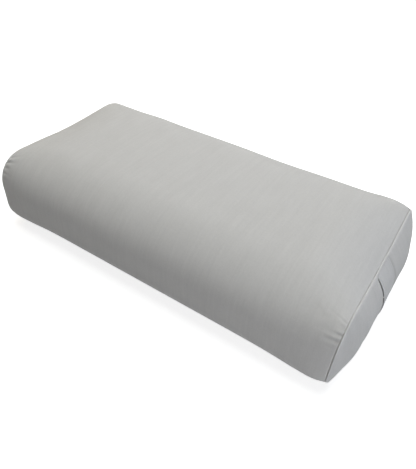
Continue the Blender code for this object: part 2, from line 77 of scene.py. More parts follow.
class Signal:
    """What comes out of a node, with Python's arithmetic on it where it is a number."""

    def __init__(self, graph: "Graph", socket: bpy.types.NodeSocket) -> None:
        """Wraps an output socket.

        Args:
            graph: The graph that the socket's node is in.
            socket: The output socket.
        """
        self.graph = graph
        self.socket = socket

    def __add__(self, other: "Signal | float") -> "Signal":
        """Adds."""
        return self.graph.maths("ADD", self, other)

    def __radd__(self, other: float) -> "Signal":
        """Adds, with the number first."""
        return self.graph.maths("ADD", other, self)

    def __sub__(self, other: "Signal | float") -> "Signal":
        """Subtracts."""
        return self.graph.maths("SUBTRACT", self, other)

    def __rsub__(self, other: float) -> "Signal":
        """Subtracts from a number."""
        return self.graph.maths("SUBTRACT", other, self)

    def __mul__(self, other: "Signal | float") -> "Signal":
        """Multiplies."""
        return self.graph.maths("MULTIPLY", self, other)

    def __rmul__(self, other: float) -> "Signal":
        """Multiplies, with the number first."""
        return self.graph.maths("MULTIPLY", other, self)

    def sine(self) -> "Signal":
        """The sine."""
        return self.graph.maths("SINE", self, 0.0)

    def size(self) -> "Signal":
        """The absolute value."""
        return self.graph.maths("ABSOLUTE", self, 0.0)

    def clamped(self) -> "Signal":
        """The value kept from 0 to 1."""
        return self.graph.node("ShaderNodeClamp", {}, {0: self})

    def other(self, output: int | str) -> "Signal":
        """Another output of the same node."""
        return Signal(self.graph, self.socket.node.outputs[output])


class Graph:
    """A node tree that is written as expressions."""

    def __init__(self, tree: bpy.types.NodeTree) -> None:
        """Starts on an empty tree.

        Args:
            tree: The node tree to write in.
        """
        self.tree = tree
        tree.nodes.clear()

    def node(
        self,
        kind: str,
        settings: dict[str, object],
        feeds: "dict[int | str, Feed]",
        output: int | str = 0,
    ) -> Signal:
        """Adds a node.

        Args:
            kind: The node's type.
            settings: Values that are set on the node first.
            feeds: What goes into each socket, a link or a value.
            output: The socket that the result is read from.

        Returns:
            The output as a signal.
        """
        node = self.tree.nodes.new(kind)
        for name, value in settings.items():
            setattr(node, name, value)
        for key, feed in feeds.items():
            if isinstance(feed, Signal):
                self.tree.links.new(feed.socket, node.inputs[key])
            else:
                node.inputs[key].default_value = feed
        return Signal(self, node.outputs[output]) if len(node.outputs) else Signal(self, None)

    def maths(self, operation: str, first: "Signal | float", second: "Signal | float") -> Signal:
        """One sum on numbers.

        Args:
            operation: The Math node's operation.
            first: Its first value.
            second: Its second value.

        Returns:
            The result.
        """
        return self.node("ShaderNodeMath", {"operation": operation}, {0: first, 1: second})

    def tint(self, share: "Signal | float", low: Feed, high: Feed) -> Signal:
        """A colour between two.

        Args:
            share: 0 for the low colour and 1 for the high one.
            low: A colour.
            high: Another colour.

        Returns:
            The mixed colour.
        """
        return self.node(
            "ShaderNodeMix", {"data_type": "RGBA"}, {0: share, 6: low, 7: high}, output=2
        )

    def noise(self, place: Signal, scale: float, detail: float = 2.0, rough: float = 0.5) -> Signal:
        """Smooth noise from 0 to 1.

        Args:
            place: The vector that the noise is read at.
            scale: How many features a metre of that vector holds.
            detail: Its octaves.
            rough: How strong the finer octaves are.

        Returns:
            The noise's value.
        """
        feeds = {"Vector": place, "Scale": scale, "Detail": detail, "Roughness": rough}
        return self.node("ShaderNodeTexNoise", {"noise_dimensions": "3D"}, feeds)

    def vector(self, x: Feed, y: Feed, z: Feed = 0.0) -> Signal:
        """A vector from three numbers."""
        return self.node("ShaderNodeCombineXYZ", {}, {0: x, 1: y, 2: z})

    def seen(self) -> Signal:
        """1 for what the camera sees, straight or by gloss or glass, and 0 for the rest."""
        camera = self.node("ShaderNodeLightPath", {}, {}, output="Is Camera Ray")
        return (camera + camera.other("Is Glossy Ray") + camera.other("Is Transmission Ray")).clamped()


class RepeatGraph(Graph):
    """A geometry tree that repeats a small shape along a line."""

    def __init__(self, name: str, sizes: Sequence[str]) -> None:
        """Makes the tree with its inputs, of which Pitch is the step along the line.

        Args:
            name: The tree's name.
            sizes: The names of its sizes, apart from the pitch.
        """
        tree = bpy.data.node_groups.new(name, "GeometryNodeTree")
        super().__init__(tree)
        tree.interface.new_socket("Line", in_out="INPUT", socket_type="NodeSocketGeometry")
        for size in ("Pitch", *sizes):
            tree.interface.new_socket(size, in_out="INPUT", socket_type="NodeSocketFloat")
        tree.interface.new_socket("Shapes", in_out="OUTPUT", socket_type="NodeSocketGeometry")
        start = self.node("NodeGroupInput", {}, {}).socket.node
        self.inputs = {socket.name: Signal(self, socket) for socket in start.outputs if socket.name}

    def repeat(
        self, shape: Signal, placing: "dict[int | str, Feed]", material: bpy.types.Material
    ) -> bpy.types.NodeTree:
        """Sets the shape along the line and ends the tree.

        Args:
            shape: The shape.
            placing: What turns and scales it at each place.
            material: Its finish.

        Returns:
            The tree.
        """
        line = {"Curve": self.inputs["Line"], "Length": self.inputs["Pitch"]}
        spaced = self.node("GeometryNodeResampleCurve", {"mode": "LENGTH"}, line)
        feeds = {"Points": spaced, "Instance": shape, **placing}
        placed = self.node("GeometryNodeInstanceOnPoints", {}, feeds)
        real = self.node("GeometryNodeRealizeInstances", {}, {"Geometry": placed})
        dressed = self.node("GeometryNodeSetMaterial", {}, {"Geometry": real, "Material": material})
        self.node("NodeGroupOutput", {}, {"Shapes": dressed})
        return self.tree


@dataclass(frozen=True)
class Grain:
    """A noise on cloth: its features a metre along each thread, its layer and its octaves."""

    along: float
    girth: float
    layer: float
    detail: float = 2.0
    rough: float = 0.5


class SurfaceGraph(Graph):
    """A material's tree, from its pattern to its Principled shader."""

    def __init__(self, name: str) -> None:
        """Makes the material.

        Args:
            name: The material's name.
        """
        self.material = bpy.data.materials.new(name)
        self.material.use_nodes = True
        super().__init__(self.material.node_tree)

    def object_place(self) -> Signal:
        """The place on the piece, in metres."""
        return self.node("ShaderNodeTexCoord", {}, {}, output="Object")

    def cloth_place(self) -> tuple[Signal, Signal]:
        """The place on the cloth.

        Returns:
            The places along its two threads, in metres.
        """
        uv = self.node("ShaderNodeUVMap", {"uv_map": CLOTH_MAP}, {})
        along = self.node("ShaderNodeSeparateXYZ", {}, {0: uv})
        return along, along.other(1)

    def grain(self, place: tuple[Signal, Signal], grain: Grain) -> Signal:
        """A noise that is drawn out along a thread."""
        spot = self.vector(place[0] * grain.along, place[1] * grain.girth, grain.layer)
        return self.noise(spot, 1.0, grain.detail, grain.rough)

    def mark(self, name: str) -> Signal:
        """A number that the mesh carries."""
        return self.node("ShaderNodeAttribute", {"attribute_name": name}, {}, output="Fac")

    def bump(self, height: Signal, distance: float, under: Signal | None = None) -> Signal:
        """A relief on the surface.

        Args:
            height: The relief, from 0 to 1.
            distance: How high 1 stands.
            under: A coarser relief that this one lies on.

        Returns:
            The normal.
        """
        feeds: dict[int | str, Feed] = {"Height": height, "Distance": distance}
        if under is not None:
            feeds["Normal"] = under
        return self.node("ShaderNodeBump", {}, feeds)

    def finish(self, feeds: "dict[str, Feed]") -> bpy.types.Material:
        """Ends the tree.

        Args:
            feeds: The Principled shader's sockets.

        Returns:
            The finished material.
        """
        shader = self.node("ShaderNodeBsdfPrincipled", {}, dict(feeds))
        self.node("ShaderNodeOutputMaterial", {}, {"Surface": shader})
        return self.material


# Finishes


def grey(level: float, warmth: float = 0.0) -> tuple[float, float, float, float]:
    """A near-neutral colour, whose lightness is linear light; below 0 the warmth cools it."""
    return (level * (1 + warmth), level * (1 + warmth * GREEN_SHARE), level * (1 - warmth), 1.0)


@dataclass(frozen=True)
class Finish:
    """What every finish has: a name, how light and warm it is, and how far its lightness spreads."""

    name: str
    level: float
    warmth: float = 0.0
    spread: tuple[float, float] = (0.9, 1.1)

    def shade(self, graph: SurfaceGraph, tone: Signal) -> Signal:
        """The colour, from its darkest at a tone of 0 to its lightest at 1."""
        dark, light = (grey(self.level * share, self.warmth) for share in self.spread)
        return graph.tint(tone, dark, light)


@dataclass(frozen=True)
class ClothFinish(Finish):
    """Plain-woven cloth with slubs and soft mottling, and a painted highlight along its seams, which reads
    its own UV map in metres.
    """

    warmth: float = 0.020
    spread: tuple[float, float] = (0.80, 1.20)
    thread_pitch: float = 0.00062
    weave_height: float = 0.00009
    weave_middle: float = 0.6
    weave_tone: float = 0.12
    slub_height: float = 0.00022
    slub_share: float = 0.7
    slub_tone: float = 0.11
    mottle_tone: float = 0.08
    fleck_tone: float = 0.14
    streak_tone: float = 0.12
    # The painted highlight along seams: how much of it there is, and how much lighter than the cloth it is.
    highlight_strength: float = 0.30
    highlight_level: float = 1.5
    sheen: float = 0.18
    sheen_roughness: float = 0.45
    gloss: float = 0.25
    roughness: float = 0.88
    rough_spread: float = 0.08
    slubs: Grain = Grain(620.0, 22.0, 0.3, rough=0.6)
    threads: Grain = Grain(40.0, 900.0, 4.7, 1.0)
    mottle: Grain = Grain(34.0, 26.0, 9.1, 3.0, 0.55)
    flecks: Grain = Grain(420.0, 300.0, 6.2, rough=0.6)
    streaks: Grain = Grain(210.0, 14.0, 2.8)

    def build(self) -> bpy.types.Material:
        """Makes the material.

        Returns:
            The material.
        """
        graph = SurfaceGraph(self.name)
        place = graph.cloth_place()
        weft, warp = ((thread * (math.pi / self.thread_pitch)).sine() for thread in place)
        check = weft * warp
        weave = (weft.size() * (1 + check) + warp.size() * (1 - check)) * 0.5
        slubs = graph.grain(place, self.slubs)
        threads = graph.grain(place, self.threads)
        mottle = graph.grain(place, self.mottle)
        yarn = slubs * self.slub_share + threads * (1 - self.slub_share)

        layers = (
            (yarn, self.slub_tone),
            (mottle, self.mottle_tone),
            (graph.grain(place, self.flecks), self.fleck_tone),
            (graph.grain(place, self.streaks), self.streak_tone),
        )
        tone = 0.5 + (weave - self.weave_middle) * self.weave_tone
        for layer, strength in layers:
            tone = tone + (layer - 0.5) * (2 * strength)
        # Painted highlight: the colour is mixed towards a lighter grey where the mesh's highlight mark is
        # high.
        painted_highlight = grey(self.level * self.highlight_level, self.warmth)
        rim = graph.mark(HIGHLIGHT_MARK) * self.highlight_strength
        colour = graph.tint(rim, self.shade(graph, tone.clamped()), painted_highlight)
        coarse = graph.bump(yarn, self.slub_height)
        return graph.finish(
            {
                "Base Color": colour,
                "Roughness": self.roughness + (mottle - 0.5) * self.rough_spread,
                "Normal": graph.bump(weave, self.weave_height, coarse),
                "Sheen Weight": self.sheen,
                "Sheen Roughness": self.sheen_roughness,
                "Specular IOR Level": self.gloss,
            }
        )


@dataclass(frozen=True)
class RibbedTapeFinish(Finish):
    """The zip's woven tape, with its rib along the length, on Object coordinates."""

    spread: tuple[float, float] = (0.82, 1.12)
    rib_pitch: float = 0.0009
    crossing_share: float = 0.7
    rib_share: float = 0.7
    rib_height: float = 0.0001
    roughness: float = 0.85
    sheen: float = 0.1

    def build(self) -> bpy.types.Material:
        """Makes the material.

        Returns:
            The material.
        """
        graph = SurfaceGraph(self.name)
        along = graph.node("ShaderNodeSeparateXYZ", {}, {0: graph.object_place()})
        ribs = (along.other("Z") * (math.pi / self.rib_pitch)).sine().size()
        crossing = (along * (math.pi / (self.rib_pitch * self.crossing_share))).sine().size()
        weave = ribs * self.rib_share + crossing * (1 - self.rib_share)
        return graph.finish(
            {
                "Base Color": self.shade(graph, weave),
                "Roughness": self.roughness,
                "Normal": graph.bump(weave, self.rib_height),
                "Sheen Weight": self.sheen,
            }
        )


@dataclass(frozen=True)
class GrainyFinish(Finish):
    """A fine random grain on Object coordinates, as on satin nylon or twisted thread."""

    scale: float = 900.0
    detail: float = 3.0
    roughness: float = 0.3
    rough_spread: float = 0.0
    relief: float = 0.0

    def build(self) -> bpy.types.Material:
        """Makes the material.

        Returns:
            The material.
        """
        graph = SurfaceGraph(self.name)
        grain = graph.noise(graph.object_place(), self.scale, self.detail)
        rough = self.roughness + grain * self.rough_spread if self.rough_spread else self.roughness
        feeds = {"Base Color": self.shade(graph, grain), "Roughness": rough}
        if self.relief:
            feeds["Normal"] = graph.bump(grain, self.relief)
        return graph.finish(feeds)


@dataclass(frozen=True)
class NickelFinish(Finish):
    """Satin nickel plate, brushed along the zip, with small scratches, on Object coordinates."""

    warmth: float = 0.02
    spread: tuple[float, float] = (0.86, 1.08)
    brush_scale: tuple[float, float, float] = (90.0, 2400.0, 2400.0)
    brush_share: float = 0.4
    brush_height: float = 0.00001
    cloud_scale: float = 260.0
    cloud_detail: float = 3.0
    roughness: float = 0.22
    rough_spread: float = 0.22

    def build(self) -> bpy.types.Material:
        """Makes the material.

        Returns:
            The material.
        """
        graph = SurfaceGraph(self.name)
        place = graph.object_place()
        product = {"operation": "MULTIPLY"}
        stretched = graph.node("ShaderNodeVectorMath", product, {0: place, 1: self.brush_scale})
        brushed = graph.noise(stretched, 1.0)
        cloud = graph.noise(place, self.cloud_scale, self.cloud_detail)
        tone = (brushed * self.brush_share + cloud * (1 - self.brush_share)).clamped()
        return graph.finish(
            {
                "Base Color": self.shade(graph, tone),
                "Metallic": 1.0,
                "Roughness": self.roughness + tone * self.rough_spread,
                "Normal": graph.bump(brushed, self.brush_height),
            }
        )


@dataclass(frozen=True)
class FibreFinish(Finish):
    """Lofted white fibre, with its fluff as a fine relief, on Object coordinates."""

    spread: tuple[float, float] = (0.92, 1.05)
    fluff: tuple[float, float, float] = (420.0, 5.0, 0.7)
    fluff_height: float = 0.0012
    clumps: tuple[float, float] = (60.0, 3.0)
    clump_height: float = 0.004
    roughness: float = 0.95
    sheen: float = 0.3

    def build(self) -> bpy.types.Material:
        """Makes the material.

        Returns:
            The material.
        """
        graph = SurfaceGraph(self.name)
        place = graph.object_place()
        fluff = graph.noise(place, *self.fluff)
        clumps = graph.noise(place, *self.clumps)
        under = graph.bump(clumps, self.clump_height)
        return graph.finish(
            {
                "Base Color": self.shade(graph, clumps),
                "Roughness": self.roughness,
                "Normal": graph.bump(fluff, self.fluff_height, under),
                "Sheen Weight": self.sheen,
            }
        )


@dataclass(frozen=True)
class FoamFinish(Finish):
    """Open-cell foam, pale cream with small dark pores, on Object coordinates."""

    pore: tuple[float, float, float, float] = (0.55, 0.47, 0.30, 1.0)
    cell_scale: float = 900.0
    cell_height: float = 0.0004
    roughness: float = 0.9

    def build(self) -> bpy.types.Material:
        """Makes the material.

        Returns:
            The material.
        """
        graph = SurfaceGraph(self.name)
        feeds = {"Vector": graph.object_place(), "Scale": self.cell_scale}
        cells = graph.node("ShaderNodeTexVoronoi", {}, feeds)
        return graph.finish(
            {
                "Base Color": graph.tint(cells, self.pore, grey(self.level, self.warmth)),
                "Roughness": self.roughness,
                "Normal": graph.bump(cells, self.cell_height),
            }
        )


class Finishes:
    """Every finish on the bolster, each made once."""

    def __init__(self) -> None:
        """Makes the materials."""
        self.cover = ClothFinish("cover_cotton", 0.545).build()
        self.strap = ClothFinish("strap_cotton", 0.555, warmth=0.012, thread_pitch=0.0007).build()
        self.liner = ClothFinish("liner_cotton", 0.78, warmth=0.03, thread_pitch=0.0005).build()
        self.tape = RibbedTapeFinish("zip_tape_weave", 0.44).build()
        self.coil = GrainyFinish("zip_coil_nylon", 0.40, rough_spread=0.2).build()
        self.nickel = NickelFinish("zip_nickel", 0.62).build()
        self.fibre = FibreFinish("fibre_white", 0.86).build()
        self.foam = FoamFinish("foam_cream", 0.74, warmth=0.13).build()
        thread = GrainyFinish(
            "thread_grey", 0.50, 0.01, (0.85, 1.1), scale=5200.0, detail=1.0, roughness=0.6, relief=0.00005
        )
        self.thread = thread.build()


# Meshes


class Choice(Enum):
    """A choice between two signs, with a word for the names of pieces."""

    @property
    def word(self) -> str:
        """The choice's name in the names of pieces."""
        return self.name.lower()


class Side(Choice):
    """The two ends of the bolster."""

    LEFT = -1
    RIGHT = 1


class Half(Choice):
    """The two halves of the zip."""

    UPPER = 1
    LOWER = -1


def put(name: str, data: bpy.types.ID) -> bpy.types.Object:
    """Makes an object and links it to the scene.

    Args:
        name: The object's name.
        data: Its mesh, curve, lamp or camera.

    Returns:
        The object.
    """
    obj = bpy.data.objects.new(name, data)
    bpy.context.scene.collection.objects.link(obj)
    return obj


@contextmanager
def reshaped(mesh: bpy.types.Mesh) -> Iterator[bmesh.types.BMesh]:
    """Opens a mesh for changes and writes it back after them.

    Args:
        mesh: The mesh.

    Yields:
        Its points, edges and faces.
    """
    body = bmesh.new()
    body.from_mesh(mesh)
    yield body
    body.to_mesh(mesh)
    body.free()


@dataclass
class Draft:
    """A mesh while it is being worked out, with each point's UV place in metres."""

    points: np.ndarray
    faces: list[tuple[int, ...]]
    uv: np.ndarray
    marks: dict[str, np.ndarray] = field(default_factory=dict)

    def to_object(self, name: str, material: bpy.types.Material) -> bpy.types.Object:
        """Makes the object, with its doubled points merged.

        Args:
            name: Its name.
            material: Its finish.

        Returns:
            The object, linked to the scene and at the origin.
        """
        mesh = bpy.data.meshes.new(name)
        mesh.from_pydata([tuple(point) for point in self.points], [], self.faces)
        layer = mesh.uv_layers.new(name=CLOTH_MAP)
        corners = np.empty(len(mesh.loops), dtype=np.int32)
        mesh.loops.foreach_get("vertex_index", corners)
        layer.data.foreach_set("uv", self.uv[corners].astype(np.float32).ravel())
        for mark, values in self.marks.items():
            attribute = mesh.attributes.new(mark, "FLOAT", "POINT")
            attribute.data.foreach_set("value", values.astype(np.float32))
        with reshaped(mesh) as body:
            bmesh.ops.remove_doubles(body, verts=body.verts, dist=WELD)
        mesh.materials.append(material)
        mesh.shade_smooth()
        return put(name, mesh)


def grid_faces(rows: int, columns: int, flip: bool = False) -> list[tuple[int, ...]]:
    """Faces of a grid of points that is stored row by row.

    Args:
        rows: How many rows of points it has.
        columns: How many points each row has.
        flip: Whether the faces look the other way.

    Returns:
        The faces.
    """
    faces = []
    for row in range(rows - 1):
        for column in range(columns - 1):
            corner = row * columns + column
            face = (corner, corner + 1, corner + columns + 1, corner + columns)
            faces.append(face[::-1] if flip else face)
    return faces


def capped_faces(rows: int, columns: int) -> list[tuple[int, ...]]:
    """Faces of a closed profile that is carried along a line, with its two ends.

    Args:
        rows: How many places of the line have the profile.
        columns: How many points the profile has, its first one again at its end.

    Returns:
        The faces.
    """
    last = (rows - 1) * columns
    caps = [tuple(range(columns - 1)), tuple(last + index for index in range(columns - 2, -1, -1))]
    return grid_faces(rows, columns) + caps


def band_faces(first: Sequence[int], second: Sequence[int]) -> list[tuple[int, ...]]:
    """Faces between two closed loops of points.

    Args:
        first: One loop's indices.
        second: The other loop's, as many.

    Returns:
        The faces.
    """
    after = [*range(1, len(first)), 0]
    return [(first[here], first[then], second[then], second[here]) for here, then in enumerate(after)]


def lattice_border(columns: int, rows: int) -> list[int]:
    """Indices of the edge points of a lattice that is stored column by column.

    Args:
        columns: How many columns it has.
        rows: How many rows it has.

    Returns:
        The indices, once round.
    """
    bottom = [column * rows for column in range(columns)]
    right = [(columns - 1) * rows + row for row in range(1, rows)]
    top = [column * rows + rows - 1 for column in range(columns - 2, -1, -1)]
    left = list(range(rows - 2, 0, -1))
    return bottom + right + top + left


def add_wall(obj: bpy.types.Object, thickness: float) -> None:
    """Gives a skin its thickness, on the inside.

    Args:
        obj: The skin, whose faces point outwards.
        thickness: How thick the cloth is.
    """
    wall = obj.modifiers.new("Wall", "SOLIDIFY")
    wall.thickness = thickness
    wall.offset = -1
    wall.use_even_offset = True
    wall.thickness_clamp = 1.0


def smooth_step(low: float, high: float, value: np.ndarray | float) -> np.ndarray:
    """A smooth rise from 0 at low to 1 at high."""
    share = np.clip((np.asarray(value, dtype=float) - low) / (high - low), 0, 1)
    return share * share * (3 - 2 * share)


def nearness(places: np.ndarray, goals: Sequence[float], reach: float) -> np.ndarray:
    """How near places are to the nearest goal: 1 at it, and less with each reach away."""
    off = np.abs(places[:, None] - np.asarray(goals)[None]).min(axis=1)
    return np.exp(-((off / reach) ** 2))


def in_space(x: float | np.ndarray, rest: np.ndarray) -> np.ndarray:
    """Points from their x, the same for all or one for each, and their other coordinates."""
    return np.column_stack([np.broadcast_to(x, len(rest)), rest])


def outward(ring: np.ndarray) -> np.ndarray:
    """Directions square to a closed line and away from what it goes round.

    Args:
        ring: The line's points, anticlockwise, with the first one again at its end.

    Returns:
        A unit vector for each point.
    """
    loop = ring[:-1]
    way = np.roll(loop, -1, axis=0) - np.roll(loop, 1, axis=0)
    way = np.concatenate([way, way[:1]])
    out = np.stack([way[:, 1], -way[:, 0]], axis=1)
    return out / np.linalg.norm(out, axis=1)[:, None]


def plain_mesh(obj: bpy.types.Object, name: str) -> bpy.types.Object:
    """Replaces an object by the plain mesh that its modifiers make, at the origin.

    Args:
        obj: The object, which is removed.
        name: The new object's name.

    Returns:
        The new object.
    """
    graph = bpy.context.evaluated_depsgraph_get()
    graph.update()
    mesh = bpy.data.meshes.new_from_object(obj.evaluated_get(graph))
    mesh.transform(obj.matrix_world)
    bpy.data.objects.remove(obj, do_unlink=True)
    mesh.name = name
    return put(name, mesh)


def point_outwards(obj: bpy.types.Object) -> None:
    """Turns a piece's faces outwards, as they are on the side that is away from its middle.

    Args:
        obj: The piece.
    """
    with reshaped(obj.data) as body:
        bmesh.ops.recalc_face_normals(body, faces=body.faces)
        middle = sum((vert.co for vert in body.verts), Vector()) / len(body.verts)
        facing = 0.0
        for face in body.faces:
            facing += (face.calc_center_median() - middle).dot(face.normal) * face.calc_area()
        if facing < 0:
            bmesh.ops.reverse_faces(body, faces=body.faces)


def close_ends(obj: bpy.types.Object) -> None:
    """Closes a skin's open ends with flat faces.

    Args:
        obj: The skin.
    """
    with reshaped(obj.data) as body:
        bmesh.ops.holes_fill(body, edges=[edge for edge in body.edges if edge.is_boundary])
        bmesh.ops.recalc_face_normals(body, faces=body.faces)


def unite(
    name: str, pieces: Sequence[bpy.types.Object], material: bpy.types.Material
) -> bpy.types.Object:
    """Joins meshes into one object.

    Args:
        name: The object's name.
        pieces: The meshes, which are removed.
        material: The object's finish.

    Returns:
        The object.
    """
    mesh = bpy.data.meshes.new(name)
    with reshaped(mesh) as body:
        for piece in pieces:
            body.from_mesh(piece.data)
            bpy.data.objects.remove(piece, do_unlink=True)
        bmesh.ops.remove_doubles(body, verts=body.verts, dist=WELD)
        bmesh.ops.recalc_face_normals(body, faces=body.faces)
        for face in body.faces:
            face.material_index = 0
    mesh.materials.append(material)
    mesh.shade_smooth()
    obj = put(name, mesh)
    obj.modifiers.new("Edges", "EDGE_SPLIT").split_angle = SPLIT_ANGLE
    return obj


def grow(
    name: str,
    lines: Sequence[Sequence[Sequence[float]]],
    tree: bpy.types.NodeTree,
    sizes: dict[str, float],
    closed: bool = False,
) -> bpy.types.Object:
    """Grows a repeated shape along lines with a node tree.

    Args:
        name: The piece's name.
        lines: Each line's points.
        tree: The node tree.
        sizes: The tree's inputs by name.
        closed: Whether each line ends where it starts.

    Returns:
        The piece as a plain mesh.
    """
    guide = put(name + "_line", line_curve(name + "_line", lines, "3D", closed))
    modifier = guide.modifiers.new("Repeat", "NODES")
    modifier.node_group = tree
    for item in tree.interface.items_tree:
        if item.item_type == "SOCKET" and item.in_out == "INPUT" and item.name in sizes:
            modifier[item.identifier] = sizes[item.name]
    piece = plain_mesh(guide, name)
    piece.data.shade_smooth()
    return piece


def line_curve(
    name: str, lines: Sequence[Sequence[Sequence[float]]], dimensions: str, closed: bool
) -> bpy.types.Curve:
    """A curve of straight stretches.

    Args:
        name: The curve's name.
        lines: Each line's points, in two or three dimensions.
        dimensions: Whether the curve is 2D or 3D.
        closed: Whether each line ends where it starts.

    Returns:
        The curve.
    """
    curve = bpy.data.curves.new(name, "CURVE")
    curve.dimensions = dimensions
    for line in lines:
        spline = curve.splines.new("POLY")
        spline.points.add(len(line) - 1)
        for point, place in zip(spline.points, line):
            point.co = (*Vector(place).to_3d(), 1.0)
        spline.use_cyclic_u = closed
    return curve


def settle(
    obj: bpy.types.Object,
    body: str,
    nodes: Sequence[str] = (),
) -> None:
    """Joins a finished piece to the frame and reports it.

    Args:
        obj: The piece.
        body: The body that it rides on.
        nodes: The CAD nodes that it stands for.
    """
    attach(obj, body)
    if nodes:
        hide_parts(*nodes)
    LOG.info("%s rides on %s, %d faces", obj.name, body, len(obj.data.polygons))


# The cushion's form


@dataclass(frozen=True)
class GirthSteps:
    """How many faces each part of half a girth has, from the top's middle to the underside's.

    From the middle to a corner's middle, the top and the underside have the same number.
    """

    channel: int = 10
    wall: int = 4
    brim: int = 3
    top: int = 10
    top_corner: int = 80
    hem: int = 3
    window: int = 4
    bottom_corner: int = 28
    bottom: int = 36

    @property
    def strip(self) -> int:
        """Faces from the middle to past the strap's channel."""
        return self.channel + self.wall + self.brim

    @property
    def band(self) -> int:
        """Faces of the upright band at the widest height."""
        return 2 * self.hem + self.window

    @property
    def corner(self) -> int:
        """Faces from the middle to the middle of a corner."""
        return self.strip + self.top + self.top_corner // 2

    @property
    def flank(self) -> int:
        """Faces from the middle of the top corner to the middle of the bottom one."""
        return self.top_corner // 2 + self.band + self.bottom_corner // 2

    @property
    def half(self) -> int:
        """Faces of the whole half."""
        return 2 * self.strip + self.top + self.top_corner + self.band + self.bottom_corner + self.bottom


@dataclass(frozen=True)
class Bump:
    """A place where the filling stands fuller than the plain form, or slacker below a height of 0."""

    place: tuple[float, float, float]
    reach: tuple[float, float]
    height: float

    def at(self, along: np.ndarray | float, points: np.ndarray) -> np.ndarray:
        """How far it lifts the surface.

        Args:
            along: Places along the bolster.
            points: The (y, z) of each place.

        Returns:
            The rise at each place.
        """
        off = (np.asarray(along) - self.place[0]) / self.reach[0]
        beside = np.linalg.norm(points - self.place[1:], axis=-1) / self.reach[1]
        return self.height * np.exp(-(off**2) - beside**2)


